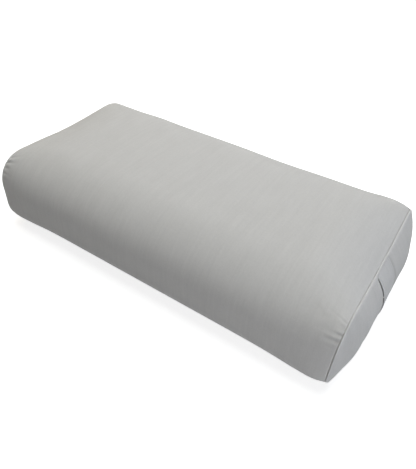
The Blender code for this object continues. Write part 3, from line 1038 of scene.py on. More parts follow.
@dataclass(frozen=True)
class CushionForm:
    """The cushion's form: how wide, high and domed it is at each place."""

    seam_half: float
    half_width: float
    shoulder: float
    strap_half: float
    window_half: float
    crown: float = 0.0055
    widest_height: float = 0.060
    band_half: float = 0.016
    window_rise: float = 0.00625
    top_corner: float = 0.0854
    bottom_corner: float = 0.0534
    draw_length: float = 0.075
    end_draw: float = 0.0018
    end_drop: float = 0.0005
    end_lift: float = 0.002
    end_top_corner: float = 0.057
    end_bottom_corner: float = 0.0308
    left_dip: float = 0.0115
    right_dip: float = 0.025
    drop_power: float = 3.0
    crown_power: float = 2.0
    end_bulge: float = 0.0222
    dome_side_power: float = 5.0
    dome_height_power: float = 2.2
    hollow_depth: float = 0.0062
    hollow_power: float = 4.0
    channel_slack: float = 0.0034
    far_slack: float = 0.0005
    channel_wall: float = 0.0023
    brim_width: float = 0.0075
    seam_pull: float = 0.0012
    seam_pull_reach: float = 0.009
    tape_tail: float = 0.006
    floor_fade: float = 0.012
    steps: GirthSteps = GirthSteps()
    bumps: tuple[Bump, ...] = (
        Bump((0.268, -0.149, 0.020), (0.050, 0.030), 0.0024),
        Bump((-0.262, -0.147, 0.020), (0.045, 0.030), 0.0030),
        Bump((-0.291, -0.153, 0.045), (0.022, 0.022), 0.0012),
        Bump((-0.296, -0.060, 0.121), (0.030, 0.035), 0.0018),
        Bump((-0.296, 0.112, 0.124), (0.022, 0.026), -0.0016),
        Bump((-0.178, 0.131, 0.117), (0.035, 0.035), 0.0013),
        Bump((0.085, 0.128, 0.120), (0.060, 0.040), -0.0016),
        Bump((0.262, 0.131, 0.116), (0.028, 0.032), 0.0026),
        Bump((0.2965, 0.138, 0.111), (0.014, 0.026), -0.0032),
        Bump((0.2965, -0.141, 0.012), (0.014, 0.022), -0.0040),
    )
    end_bumps: tuple[Bump, ...] = (
        Bump((0.291, 0.070, 0.072), (0.020, 0.030), 0.0042),
        Bump((0.291, 0.110, 0.094), (0.020, 0.030), 0.0034),
        Bump((0.291, -0.040, 0.050), (0.020, 0.035), -0.0012),
        Bump((0.291, -0.105, 0.034), (0.020, 0.028), 0.0045),
    )

    @classmethod
    def from_frame(cls) -> "CushionForm":
        """Reads the form's main sizes from the frame.

        Returns:
            The form.
        """
        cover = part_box("cover_body_panel")[1]
        strap_low, strap_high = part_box("handle_right")
        return cls(
            seam_half=cover.x,
            half_width=cover.y,
            shoulder=cover.z - cls.crown,
            strap_half=(strap_high.y - strap_low.y) / 2,
            window_half=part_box("zip_tape_upper")[1].x - cls.tape_tail,
        )

    def drawn(self, x: float) -> float:
        """How far the girth has drawn in at x: 0 over the straight part and 1 at a seam."""
        past = abs(x) - (self.seam_half - self.draw_length)
        return min(max(past / self.draw_length, 0.0), 1.0) ** 2

    def flat_columns(self, flat: float, rest: int) -> np.ndarray:
        """Distances from the middle of the columns on a flat side.

        Args:
            flat: Where the corner starts.
            rest: How many faces there are past the strap's channel.

        Returns:
            The distances, without the corner's own first column.
        """
        steps = self.steps
        floor = self.strap_half + self.channel_slack
        rim = floor + self.channel_wall
        brim = rim + self.brim_width
        parts = [
            np.linspace(0, floor, steps.channel + 1)[:-1],
            np.linspace(floor, rim, steps.wall + 1)[:-1],
            np.linspace(rim, brim, steps.brim + 1)[:-1],
            np.linspace(brim, flat, rest + 1)[:-1],
        ]
        return np.concatenate(parts)

    def band_columns(self) -> np.ndarray:
        """Places of the columns on the upright band.

        Returns:
            Their heights about its middle, from its top down.
        """
        steps = self.steps
        upper = np.linspace(self.band_half, self.window_rise, steps.hem + 1)
        middle = np.linspace(self.window_rise, -self.window_rise, steps.window + 1)
        return np.concatenate([upper[:-1], middle[:-1], -upper[::-1]])

    def half_section(self, x: float, inset: float = 0.0) -> np.ndarray:
        """The +Y half of the girth at x, from the top's middle to the underside's middle.

        Args:
            x: The place along the bolster.
            inset: How far inside the cover's surface it lies.

        Returns:
            An array of (y, z).
        """
        steps = self.steps
        drawn = self.drawn(x)
        along = abs(x / self.seam_half) ** self.drop_power
        half_width = self.half_width - self.end_draw * drawn - inset
        floor = self.end_lift * drawn + inset
        shoulder = self.shoulder - self.end_drop * along - inset
        top_corner = self.top_corner + (self.end_top_corner - self.top_corner) * drawn - inset
        low_corner = self.bottom_corner + (self.end_bottom_corner - self.bottom_corner) * drawn - inset
        band_top = self.widest_height + self.band_half
        band_foot = self.widest_height - self.band_half
        top_flat = half_width - top_corner
        low_flat = half_width - low_corner

        top_y = self.flat_columns(top_flat, steps.top)
        angle = np.linspace(0, math.pi / 2, steps.top_corner + 1)
        arc_y = top_flat + top_corner * np.sin(angle)
        arc_z = band_top + (shoulder - band_top) * np.cos(angle)
        band_z = self.widest_height + self.band_columns()[1:-1]
        low_angle = np.linspace(math.pi / 2, 0, steps.bottom_corner + 1)
        low_y = low_flat + low_corner * np.sin(low_angle)
        low_z = band_foot + (floor - band_foot) * np.cos(low_angle)
        foot_y = self.flat_columns(low_flat, steps.bottom)[::-1]
        y = np.concatenate([top_y, arc_y, np.full(len(band_z), half_width), low_y, foot_y])
        z = np.concatenate(
            [np.full(len(top_y), shoulder), arc_z, band_z, low_z, np.full(len(foot_y), floor)]
        )
        dip = self.right_dip if x > 0 else self.left_dip
        swell = self.crown * (1 - along) - dip * drawn
        fall = 2 * dip * math.sqrt(drawn) / self.draw_length
        height_share = np.clip((z - self.widest_height) / (shoulder - self.widest_height), 0, None)
        lift = height_share**self.crown_power * (1 - (y / half_width) ** 2)
        z = z + swell * lift - inset * (np.hypot(1, fall * lift) - 1)
        return np.stack([y, z], axis=1)

    def plain_ring(self, x: float, inset: float = 0.0) -> np.ndarray:
        """The whole girth at x without its bumps.

        Args:
            x: The place along the bolster.
            inset: How far inside the cover's surface it lies.

        Returns:
            An array of (y, z), from the underside's middle by +Y and back to it.
        """
        half = self.half_section(x, inset)
        rising = half[::-1]
        falling = half[1:] * (-1, 1)
        return np.concatenate([rising, falling])

    def ring(self, x: float, inset: float = 0.0) -> np.ndarray:
        """The whole girth at x, drawn in at the seams and fuller or slacker at its bumps.

        Args:
            x: The place along the bolster.
            inset: How far inside the cover's surface it lies.

        Returns:
            An array of (y, z).
        """
        outer = self.plain_ring(x)
        rise = sum(bump.at(x, outer) for bump in self.bumps)
        past = (self.seam_half - abs(x)) / self.seam_pull_reach
        rise = rise - self.seam_pull * math.exp(-max(past, 0.0))
        off_floor = smooth_step(0.0, self.floor_fade, outer[:, 1] - outer[:, 1].min())
        return self.plain_ring(x, inset) + outward(outer) * (rise * off_floor)[:, None]

    def girth_lengths(self) -> np.ndarray:
        """Lengths along the cloth of the middle girth.

        Returns:
            The length to each of its points.
        """
        ring = self.plain_ring(0.0)
        steps = np.linalg.norm(np.diff(ring, axis=0), axis=1)
        return np.concatenate([[0.0], np.cumsum(steps)])

    def end_lattice(
        self, side: Side, inset: float, place: float | None = None
    ) -> tuple[np.ndarray, np.ndarray]:
        """Points of an end as a lattice whose four edges lie on the girth.

        Args:
            side: Which end.
            inset: How far inside the cover's girth the lattice's edge lies.
            place: How far out the girth is taken, which is at the seam unless it is given.

        Returns:
            The (y, z) of each point by column and row, and its two shares from -1 to 1.
        """
        steps = self.steps
        x = side.value * (place or self.seam_half)
        half = self.half_section(x, inset)
        flank = half[steps.corner : steps.corner + steps.flank + 1][::-1]
        columns = np.arange(-steps.corner, steps.corner + 1)
        across = np.sign(columns) * half[np.abs(columns), 0] / half[steps.corner, 0]
        up = (flank[:, 1] - flank[0, 1]) / (flank[-1, 1] - flank[0, 1])

        ring = self.ring(x, inset)
        if side is Side.LEFT:
            ring = ring[::-1] * (-1, 1)
        middle, last = steps.half, 2 * steps.half
        top = ring[middle - steps.corner : middle + steps.corner + 1][::-1]
        foot = np.concatenate([ring[last - steps.corner : last], ring[: steps.corner + 1]])
        right = ring[steps.corner : middle - steps.corner + 1]
        left = ring[middle + steps.corner : last - steps.corner + 1][::-1]

        share = ((across + 1) / 2)[:, None, None]
        rise = up[None, :, None]
        level = foot[:, None] * (1 - rise) + top[:, None] * rise
        right_lean = right[None] - (foot[-1] * (1 - rise) + top[-1] * rise)
        left_lean = left[None] - (foot[0] * (1 - rise) + top[0] * rise)
        lattice = level + left_lean * (1 - share) + right_lean * share
        shares = np.stack(np.broadcast_arrays(across[:, None], (2 * up - 1)[None]), axis=2)
        return lattice, shares

    def end_swell(self, side: Side, lattice: np.ndarray, shares: np.ndarray) -> np.ndarray:
        """How much further an end stands out at its bumps.

        Args:
            side: Which end.
            lattice: The (y, z) of the end's points, mirrored on the left end.
            shares: Their two shares.

        Returns:
            The rise at each point, which is 0 along the seam.
        """
        points = lattice * (side.value, 1)
        rise = sum(bump.at(side.value * self.seam_half, points) for bump in self.end_bumps)
        return rise * np.sqrt(self.dome(shares[..., 0], shares[..., 1]))

    def dome(self, across: np.ndarray, up: np.ndarray) -> np.ndarray:
        """How far an end stands out past its seam.

        Args:
            across: The share of the end's half width, from -1 to 1.
            up: The share of its height, from -1 to 1.

        Returns:
            The share of its bulge, from 0 to 1.
        """
        sides = 1 - np.abs(across) ** self.dome_side_power
        heights = 1 - np.abs(up) ** self.dome_height_power
        return sides * heights

    def hollow(self, y: np.ndarray, up: np.ndarray) -> np.ndarray:
        """How far an end is pressed in under its strap.

        Args:
            y: The distance from the end's middle.
            up: The share of the end's height, from -1 to 1.

        Returns:
            The depth.
        """
        floor = self.strap_half + np.where(y < 0, self.channel_slack, self.far_slack)
        beside = smooth_step(0.0, self.channel_wall, np.abs(y) - floor)
        return self.hollow_depth * (1 - beside) * (1 - np.abs(up) ** self.hollow_power)


# The cover


@dataclass(frozen=True)
class Ripples:
    """Fullness that is eased into the end seams: small ridges square to the seam."""

    height: float = 0.00035
    flat_height: float = 0.0001
    spacing: float = 0.0105
    peak_distance: float = 0.0045
    corner_reach: float = 0.030
    wander_length: float = 0.11
    wander_strength: float = 1.6
    harmonics: int = 6
    uneven_length: float = 0.037
    uneven_start: float = 1.1
    uneven_share: float = 0.35
    seed: int = 7

    def at(self, girth: np.ndarray, corners: Sequence[float], distance: float) -> np.ndarray:
        """How far the cloth stands out.

        Args:
            girth: Places along the girth.
            corners: Where the corners' middles are.
            distance: How far from the seam the places are.

        Returns:
            The rise at each place.
        """
        chance = np.random.default_rng(self.seed)
        wander = np.zeros_like(girth)
        for harmonic in range(1, self.harmonics + 1):
            phase = chance.uniform(0, TURN)
            wander += np.sin(girth * TURN * harmonic / self.wander_length + phase) / harmonic
        near = nearness(girth, corners, self.corner_reach)
        height = self.flat_height + (self.height - self.flat_height) * near
        waves = np.sin(girth * TURN / self.spacing + wander * self.wander_strength)
        slow = np.sin(girth * TURN / self.uneven_length + self.uneven_start)
        uneven = 1 - self.uneven_share + self.uneven_share * slow
        fade = distance / self.peak_distance * math.exp(1 - distance / self.peak_distance)
        return height * waves * uneven * fade


@dataclass(frozen=True)
class Fold:
    """A fold that runs in from an end seam: a ridge, or a crease where its height is below 0."""

    side: Side
    girth: float
    height: float
    width: float = 0.0022
    reach: float = 0.012
    lean: float = 0.0
    rise_from: float = 0.35
    spread: float = 0.10
    peak: float = 0.003

    def at(self, x: float, girth: np.ndarray, distance: float) -> np.ndarray:
        """How far it lifts the cloth.

        Args:
            x: The place along the bolster.
            girth: Places along the girth.
            distance: How far from the seam the places are.

        Returns:
            The rise at each place.
        """
        if x * self.side.value < 0:
            return np.zeros_like(girth)
        off = (girth - self.girth - self.lean * distance) / (self.width + distance * self.spread)
        grown = self.rise_from + (1 - self.rise_from) * float(smooth_step(0, self.peak, distance))
        return self.height * np.exp(-(off**2)) * grown * math.exp(-((distance / self.reach) ** 2))


@dataclass(frozen=True)
class Settling:
    """How the body panel's cloth settles near an end seam, by a cloth simulation.

    A coarse cage of the panel's end is held along the seam, along its inner edge and on the
    floor. The filling's pressure and a little fullness of the cloth make it swell and pucker.
    """

    reach: float = 0.066
    row_pitch: float = 0.0036
    column_pitch: float = 0.0046
    start_inset: float = 0.0006
    pinned_edge: float = 0.0014
    floor_height: float = 0.0025
    pressure: float = 4.0
    mass: float = 0.0003
    stiffness: float = 15.0
    bending: float = 0.05
    fullness: float = 0.004
    frames: int = 20
    cap: float = 0.00025
    swell_share: float = 0.12
    swell_width: float = 0.022
    corner_reach: float = 0.022
    flat_share: float = 0.1
    fine_share: float = 0.75
    soft_rows: int = 2
    inner_rows: int = 4

    def cage(self, form: CushionForm, side: Side) -> tuple[np.ndarray, np.ndarray, np.ndarray]:
        """Points of the panel's end at even steps.

        Args:
            form: The cushion's form.
            side: Which end.

        Returns:
            The points by row and column, the rows' distances from the seam and the columns' girths.
        """
        lengths = form.girth_lengths()
        columns = int(lengths[-1] / self.column_pitch)
        girth = np.arange(columns) * lengths[-1] / columns
        rows = int(self.reach / self.row_pitch)
        distance = self.pinned_edge + np.arange(rows + 1) * self.row_pitch
        points = []
        for off in distance:
            x = side.value * (form.seam_half - off)
            ring = form.ring(x)
            even = np.stack([np.interp(girth, lengths, ring[:, axis]) for axis in (0, 1)], axis=1)
            points.append(in_space(x, even))
        return np.array(points), distance, girth

    def simulate(self, start: np.ndarray) -> np.ndarray:
        """Lets the cage settle.

        Args:
            start: Its points by row and column, closed round the girth.

        Returns:
            The points after the last frame.
        """
        rows, columns = start.shape[:2]
        loops = np.arange(rows * columns).reshape(rows, columns).tolist()
        faces = [face for first, second in zip(loops, loops[1:]) for face in band_faces(first, second)]
        mesh = bpy.data.meshes.new("cloth_cage")
        mesh.from_pydata([tuple(point) for point in start.reshape(-1, 3)], [], faces)
        cage = put("cloth_cage", mesh)
        held = np.zeros((rows, columns), dtype=bool)
        held[0] = held[-1] = True
        held |= start[..., 2] < self.floor_height
        pins = cage.vertex_groups.new(name="held")
        pins.add([int(index) for index in np.flatnonzero(held)], 1.0, "REPLACE")

        cloth = cage.modifiers.new("Cloth", "CLOTH")
        settings = cloth.settings
        settings.mass = self.mass
        settings.tension_stiffness = self.stiffness
        settings.compression_stiffness = self.stiffness
        settings.shear_stiffness = self.stiffness / 2
        settings.bending_stiffness = self.bending
        settings.use_pressure = True
        settings.uniform_pressure_force = self.pressure
        settings.shrink_min = -self.fullness
        settings.vertex_group_mass = pins.name
        settings.effector_weights.gravity = 0
        cloth.collision_settings.use_collision = False
        cloth.point_cache.frame_start = 1
        cloth.point_cache.frame_end = self.frames
        scene = bpy.context.scene
        for number in range(1, self.frames + 1):
            scene.frame_set(number)
        graph = bpy.context.evaluated_depsgraph_get()
        settled = cage.evaluated_get(graph).to_mesh()
        places = np.empty(len(settled.vertices) * 3)
        settled.vertices.foreach_get("co", places)
        scene.frame_set(1)
        bpy.data.objects.remove(cage, do_unlink=True)
        return places.reshape(start.shape)

    def rises(
        self, form: CushionForm, side: Side, corners: Sequence[float], girth: np.ndarray
    ) -> tuple[np.ndarray, np.ndarray]:
        """How far the settled cloth stands out.

        Args:
            form: The cushion's form.
            side: Which end.
            corners: Where the corners' middles are along the girth.
            girth: The places along the girth that the rises are wanted at.

        Returns:
            The rows' distances from the seam, and the rise by row and place.
        """
        cage, distance, columns = self.cage(form, side)
        out = []
        for row in cage:
            loop = np.concatenate([row, row[:1]])[:, 1:]
            out.append(np.pad(outward(loop)[:-1], ((0, 0), (1, 0))))
        out = np.array(out)
        free = np.minimum((distance - distance[0]) / (self.soft_rows * self.row_pitch), 1.0)
        start = cage - out * (self.start_inset * free)[:, None, None]
        rise = ((self.simulate(start) - start) * out).sum(axis=2)

        total = form.girth_lengths()[-1]
        broad = self._spread(columns, columns, total, self.swell_width)
        fine = self._spread(girth, columns, total, self.column_pitch * self.fine_share)
        swell = rise @ broad.T
        share = self.flat_share + (1 - self.flat_share) * nearness(columns, corners, self.corner_reach)
        shaped = (rise - swell) * share + (swell - swell.mean(axis=1)[:, None]) * self.swell_share
        shaped = self.cap * np.tanh(shaped / self.cap)
        inner = smooth_step(0, self.inner_rows * self.row_pitch, distance[-1] - distance)
        return distance, (shaped * inner[:, None]) @ fine.T

    @staticmethod
    def _spread(places: np.ndarray, columns: np.ndarray, total: float, width: float) -> np.ndarray:
        """Weights that carry values from the cage's columns to places.

        Args:
            places: Where the values are wanted along the girth.
            columns: Where the cage's columns are.
            total: The whole girth's length.
            width: How widely a value is spread.

        Returns:
            The weights by place and column.
        """
        off = np.abs(places[:, None] - columns[None])
        off = np.minimum(off, total - off)
        weight = np.exp(-((off / width) ** 2))
        return weight / weight.sum(axis=1)[:, None]


@dataclass
class Cover:
    """The cotton cover: a panel round the girth and a domed panel at each end."""

    form: CushionForm
    cloth: float = 0.0010
    roll: float = 0.0009
    seam_gap: float = 0.00015
    allowance: float = 0.010
    body_turn_share: float = 0.4
    end_turn_share: float = 0.3
    straight_rings: int = 17
    draw_rings: int = 26
    draw_spacing: float = 1.6
    roll_rings: int = 7
    end_starts_at: float = 30.0
    end_roll: tuple[float, ...] = (55.0, 80.0, 105.0, 130.0, 155.0, 180.0)
    hem_depth: float = 0.0016
    hem_turns: tuple[tuple[float, float], ...] = ((0.3, -0.12), (0.8, -0.05), (1.0, 0.5))
    hem_end_share: float = 0.98
    hem_edge_share: float = 0.7
    # Painted highlight along the seams: on the body panel it fades with the distance from the seam; on the
    # end panels it lies along the edge, on the upper part only.
    body_highlight: float = 0.25
    body_highlight_reach: float = 0.003
    end_highlight_from: float = 0.93
    end_highlight_top: tuple[float, float] = (0.2, 0.8)
    end_fullness: float = 0.0012
    end_fullness_reach: float = 0.022
    floor_fade: float = 0.006
    ripples: Ripples = Ripples()
    settling: Settling = Settling()
    folds: tuple[Fold, ...] = (
        Fold(Side.RIGHT, 0.5524, -0.0014, reach=0.014, lean=0.25),
        Fold(Side.RIGHT, 0.5472, 0.0007, reach=0.012, lean=0.28),
        Fold(Side.RIGHT, 0.5419, -0.0011, reach=0.010, lean=0.30),
        Fold(Side.RIGHT, 0.5368, 0.0006, reach=0.010, lean=0.30),
        Fold(Side.RIGHT, 0.5578, 0.0004, reach=0.014, lean=0.20),
        Fold(Side.LEFT, 0.5159, -0.0014, reach=0.012, lean=-0.40),
        Fold(Side.LEFT, 0.5225, 0.0012, width=0.0028, reach=0.016, lean=-0.30),
        Fold(Side.LEFT, 0.5300, -0.0014, reach=0.013, lean=-0.20),
        Fold(Side.LEFT, 0.5424, -0.0013, reach=0.010),
        Fold(Side.LEFT, 0.5362, 0.0008, reach=0.010, lean=-0.10),
        Fold(Side.LEFT, 0.5542, -0.0012, reach=0.009),
        Fold(Side.RIGHT, 0.2655, -0.0011, reach=0.007),
        Fold(Side.RIGHT, 0.2715, 0.0006, reach=0.008),
    )

    def stations(self) -> list[tuple[float, float, float]]:
        """The body panel's rings on the +X half.

        Returns:
            Each ring's place, its inset and its distance from the seam.
        """
        form = self.form
        edge = form.seam_half - self.seam_gap - self.roll
        straight = form.seam_half - form.draw_length
        places = [form.window_half * step / self.straight_rings for step in range(self.straight_rings + 1)]
        for step in range(self.draw_rings + 1):
            share = 1 - (1 - step / self.draw_rings) ** self.draw_spacing
            places.append(straight + (edge - straight) * share)
        rings = [(x, 0.0, form.seam_half - x) for x in places]
        for step in range(1, self.roll_rings + 1):
            angle = math.pi * step / self.roll_rings
            inset = self.roll * (1 - math.cos(angle))
            rings.append((edge + self.roll * math.sin(angle), inset, 0.0))
        for share in (self.body_turn_share, 1.0):
            rings.append((edge - self.allowance * share, 2 * self.roll, 0.0))
        return rings

    def girth_corners(self) -> list[float]:
        """Places of the four corners' middles along the girth.

        Returns:
            The places.
        """
        lengths = self.form.girth_lengths()
        steps = self.form.steps
        half = steps.half
        low = steps.strip + steps.bottom + steps.bottom_corner // 2
        top = half - steps.strip - steps.top - steps.top_corner // 2
        return [lengths[index] for index in (low, top, 2 * half - top, 2 * half - low)]

    def body_panel(self, material: bpy.types.Material) -> bpy.types.Object:
        """Makes the panel round the top, the long sides and the underside.

        Args:
            material: The cover's cloth.

        Returns:
            The panel, with the zip's window cut in its rear side.
        """
        form = self.form
        girth = form.girth_lengths()
        corners = self.girth_corners()
        right = self.stations()
        rings = [(-x, inset, distance) for x, inset, distance in reversed(right[1:])] + right
        points = []
        uv = []
        marks = []
        settled = {side: self.settling.rises(form, side, corners, girth) for side in Side}
        for x, inset, distance in rings:
            ring = form.ring(x, inset)
            rise = self.ripples.at(girth, corners, distance)
            rise = rise + sum(fold.at(x, girth, distance) for fold in self.folds)
            rise = rise + self._settled_rise(*settled[Side(1 if x > 0 else -1)], distance)
            off_floor = smooth_step(0.0, self.floor_fade, ring[:, 1])
            points.append(in_space(x, ring + outward(ring) * (rise * off_floor)[:, None]))
            uv.append(in_space(x + form.seam_half, girth[:, None]))
            # Painted highlight, strongest at the seam.
            marks.append(np.full(len(ring), self.body_highlight * math.exp(-distance / self.body_highlight_reach)))
        columns = len(girth)
        grid = grid_faces(len(rings), columns)
        faces = [face for face in grid if not self._in_window(rings, columns, face)]
        painted_highlight = {HIGHLIGHT_MARK: np.concatenate(marks)}
        draft = Draft(np.concatenate(points), faces, np.concatenate(uv), painted_highlight)
        panel = draft.to_object("cover_body", material)
        self._fold_window(panel)
        add_wall(panel, self.cloth)
        return panel

    @staticmethod
    def _settled_rise(distances: np.ndarray, rises: np.ndarray, distance: float) -> np.ndarray:
        """The settled cloth's rise along a ring, between the cage's rows.

        Args:
            distances: The rows' distances from the seam.
            rises: The rise by row and place.
            distance: The ring's distance from the seam.

        Returns:
            The rise at each place.
        """
        place = (distance - distances[0]) / (distances[1] - distances[0])
        if place >= len(distances) - 1:
            return np.zeros(rises.shape[1])
        row = max(int(place), 0)
        share = min(max(place - row, 0.0), 1.0)
        return rises[row] * (1 - share) + rises[row + 1] * share

    def _in_window(
        self, rings: Sequence[tuple[float, float, float]], columns: int, face: tuple[int, ...]
    ) -> bool:
        """Whether a face of the grid lies in the zip's window.

        Args:
            rings: The panel's rings.
            columns: How many points each has.
            face: The face.

        Returns:
            Whether it does.
        """
        steps = self.form.steps
        row, column = divmod(face[0], columns)
        middle = (rings[row][0] + rings[row + 1][0]) / 2
        first = steps.strip + steps.bottom + steps.bottom_corner + steps.hem
        return abs(middle) < self.form.window_half and first <= column < first + steps.window

    def _fold_window(self, panel: bpy.types.Object) -> None:
        """Turns the window's edge in, as a hem.

        Args:
            panel: The body panel, still a skin.
        """
        form = self.form
        reach = form.window_half + EDGE_TOLERANCE
        with reshaped(panel.data) as body:
            open_edges = [edge for edge in body.edges if edge.is_boundary]
            edges = [edge for edge in open_edges if all(abs(vert.co.x) < reach for vert in edge.verts)]
            for depth, spread in self.hem_turns:
                found = bmesh.ops.extrude_edge_only(body, edges=edges)["geom"]
                edges = [item for item in found if isinstance(item, bmesh.types.BMEdge) and item.is_boundary]
                for vert in (item for item in found if isinstance(item, bmesh.types.BMVert)):
                    share_x = vert.co.x / form.window_half
                    share_z = (vert.co.z - form.widest_height) / form.window_rise
                    vert.co.y = form.half_width - self.hem_depth * depth
                    if abs(share_x) > self.hem_end_share:
                        vert.co.x += math.copysign(self.hem_depth * spread, share_x)
                    if abs(share_z) > self.hem_edge_share:
                        vert.co.z += math.copysign(self.hem_depth * spread, share_z)
            bmesh.ops.recalc_face_normals(body, faces=body.faces)

    def end_surface(self, side: Side) -> tuple[np.ndarray, np.ndarray, np.ndarray]:
        """An end panel's outer surface.

        Args:
            side: Which end.

        Returns:
            The (y, z) of its points by column and row, how far they stand out, and their two shares.
        """
        form = self.form
        first, inset = self._edge_place(self.end_starts_at)
        lattice, shares = form.end_lattice(side, inset)
        across, up = shares[..., 0], shares[..., 1]
        beside = np.abs(lattice[..., 0]) - form.strap_half
        fuller = self.end_fullness * np.exp(-((beside / self.end_fullness_reach) ** 2))
        fuller = fuller * (1 - up**2) * (beside > 0)
        rise = first + (form.end_bulge - first) * form.dome(across, up) + fuller
        rise = rise - form.hollow(lattice[..., 0], up) + form.end_swell(side, lattice, shares)
        return lattice, rise, shares

    def end_panel(self, side: Side, material: bpy.types.Material) -> bpy.types.Object:
        """Makes a domed end, with its edge rolled into the seam.

        Args:
            side: Which end.
            material: The cover's cloth.

        Returns:
            The panel.
        """
        form = self.form
        sign = side.value
        lattice, rise, shares = self.end_surface(side)
        columns, rows = rise.shape
        places = lattice.reshape(-1, 2)
        points = [in_space(sign * (form.seam_half + rise.ravel()), places * (sign, 1))]
        faces = grid_faces(columns, rows, flip=True)
        # Painted highlight along the end's edge, only on its upper part, where light catches the rolled seam.
        edge = np.abs(shares).max(axis=2).ravel()
        on_top = smooth_step(*self.end_highlight_top, shares[..., 1]).ravel()
        marks = [smooth_step(self.end_highlight_from, 1.0, edge) * on_top]

        border = lattice_border(columns, rows)
        outline = places[border]
        out = outline - np.array([0.0, form.widest_height])
        out /= np.linalg.norm(out, axis=1)[:, None]
        outer_inset = self._edge_place(self.end_starts_at)[1]
        previous = border
        for depth, inset in self._edge_loops():
            moved = outline + out * (outer_inset - inset)
            start = sum(len(part) for part in points)
            indices = list(range(start, start + len(border)))
            faces += band_faces(previous, indices)
            points.append(in_space(sign * (form.seam_half + depth), moved * (sign, 1)))
            marks.append(on_top[border])
            previous = indices
        points = np.concatenate(points)
        draft = Draft(points, faces, points[:, 1:], {HIGHLIGHT_MARK: np.concatenate(marks)})
        panel = draft.to_object(f"cover_end_{side.word}", material)
        point_outwards(panel)
        add_wall(panel, self.cloth)
        return panel

    def _edge_place(self, degrees: float) -> tuple[float, float]:
        """Depth past the seam and inset of a place on an end's rolled edge."""
        angle = math.radians(degrees)
        return self.seam_gap + self.roll * (1 + math.cos(angle)), self.roll * (1 - math.sin(angle))

    def _edge_loops(self) -> list[tuple[float, float]]:
        """The loops that roll an end's edge in.

        Returns:
            Each loop's depth past the seam and its inset.
        """
        under = 2 * self.roll + self.cloth + self.seam_gap * 2
        loops = [self._edge_place(degrees) for degrees in self.end_roll]
        loops.append((self.seam_gap, under))
        for share in (self.end_turn_share, 1.0):
            loops.append((-self.allowance * share, under + self.seam_gap))
        return loops

    def build(self, finishes: Finishes) -> None:
        """Makes the cover and joins it to the frame.

        Args:
            finishes: The bolster's finishes.
        """
        body = self.body_panel(finishes.cover)
        settle(body, "bolster", ["cover_body_panel"])
        for side in Side:
            panel = self.end_panel(side, finishes.cover)
            settle(panel, "bolster", [f"cover_end_panel_{side.word}"])


# Stitches


@dataclass(frozen=True)
class StitchRow:
    """A row of lockstitches along a line, made by a node tree."""

    pitch: float = 0.0030
    length: float = 0.0024
    thread: float = 0.00028
    segments: int = 8
    rings: int = 5

    def tree(self, material: bpy.types.Material) -> bpy.types.NodeTree:
        """Builds the node tree.

        Args:
            material: The thread's finish.

        Returns:
            The tree, whose inputs are the line, the pitch and the stitches' sizes.
        """
        graph = RepeatGraph("stitch_row", ("Length", "Thread"))
        ball = {"Segments": self.segments, "Rings": self.rings, "Radius": 1.0}
        stitch = graph.node("GeometryNodeMeshUVSphere", {}, ball)
        tangent = graph.node("GeometryNodeInputTangent", {}, {})
        turned = graph.node("FunctionNodeAlignRotationToVector", {"axis": "X"}, {"Vector": tangent})
        thread = graph.inputs["Thread"]
        scale = graph.vector(graph.inputs["Length"] * 0.5, thread, thread)
        return graph.repeat(stitch, {"Rotation": turned, "Scale": scale}, material)

    def sew(
        self,
        name: str,
        lines: Sequence[Sequence[Sequence[float]]],
        material: bpy.types.Material,
        closed: bool = False,
    ) -> bpy.types.Object:
        """Sews stitches along lines.

        Args:
            name: The piece's name.
            lines: Each line's points.
            material: The thread's finish.
            closed: Whether each line ends where it starts.

        Returns:
            The stitches as one plain mesh.
        """
        sizes = {"Pitch": self.pitch, "Length": self.length, "Thread": self.thread}
        return grow(name, lines, self.tree(material), sizes, closed)


# Handles


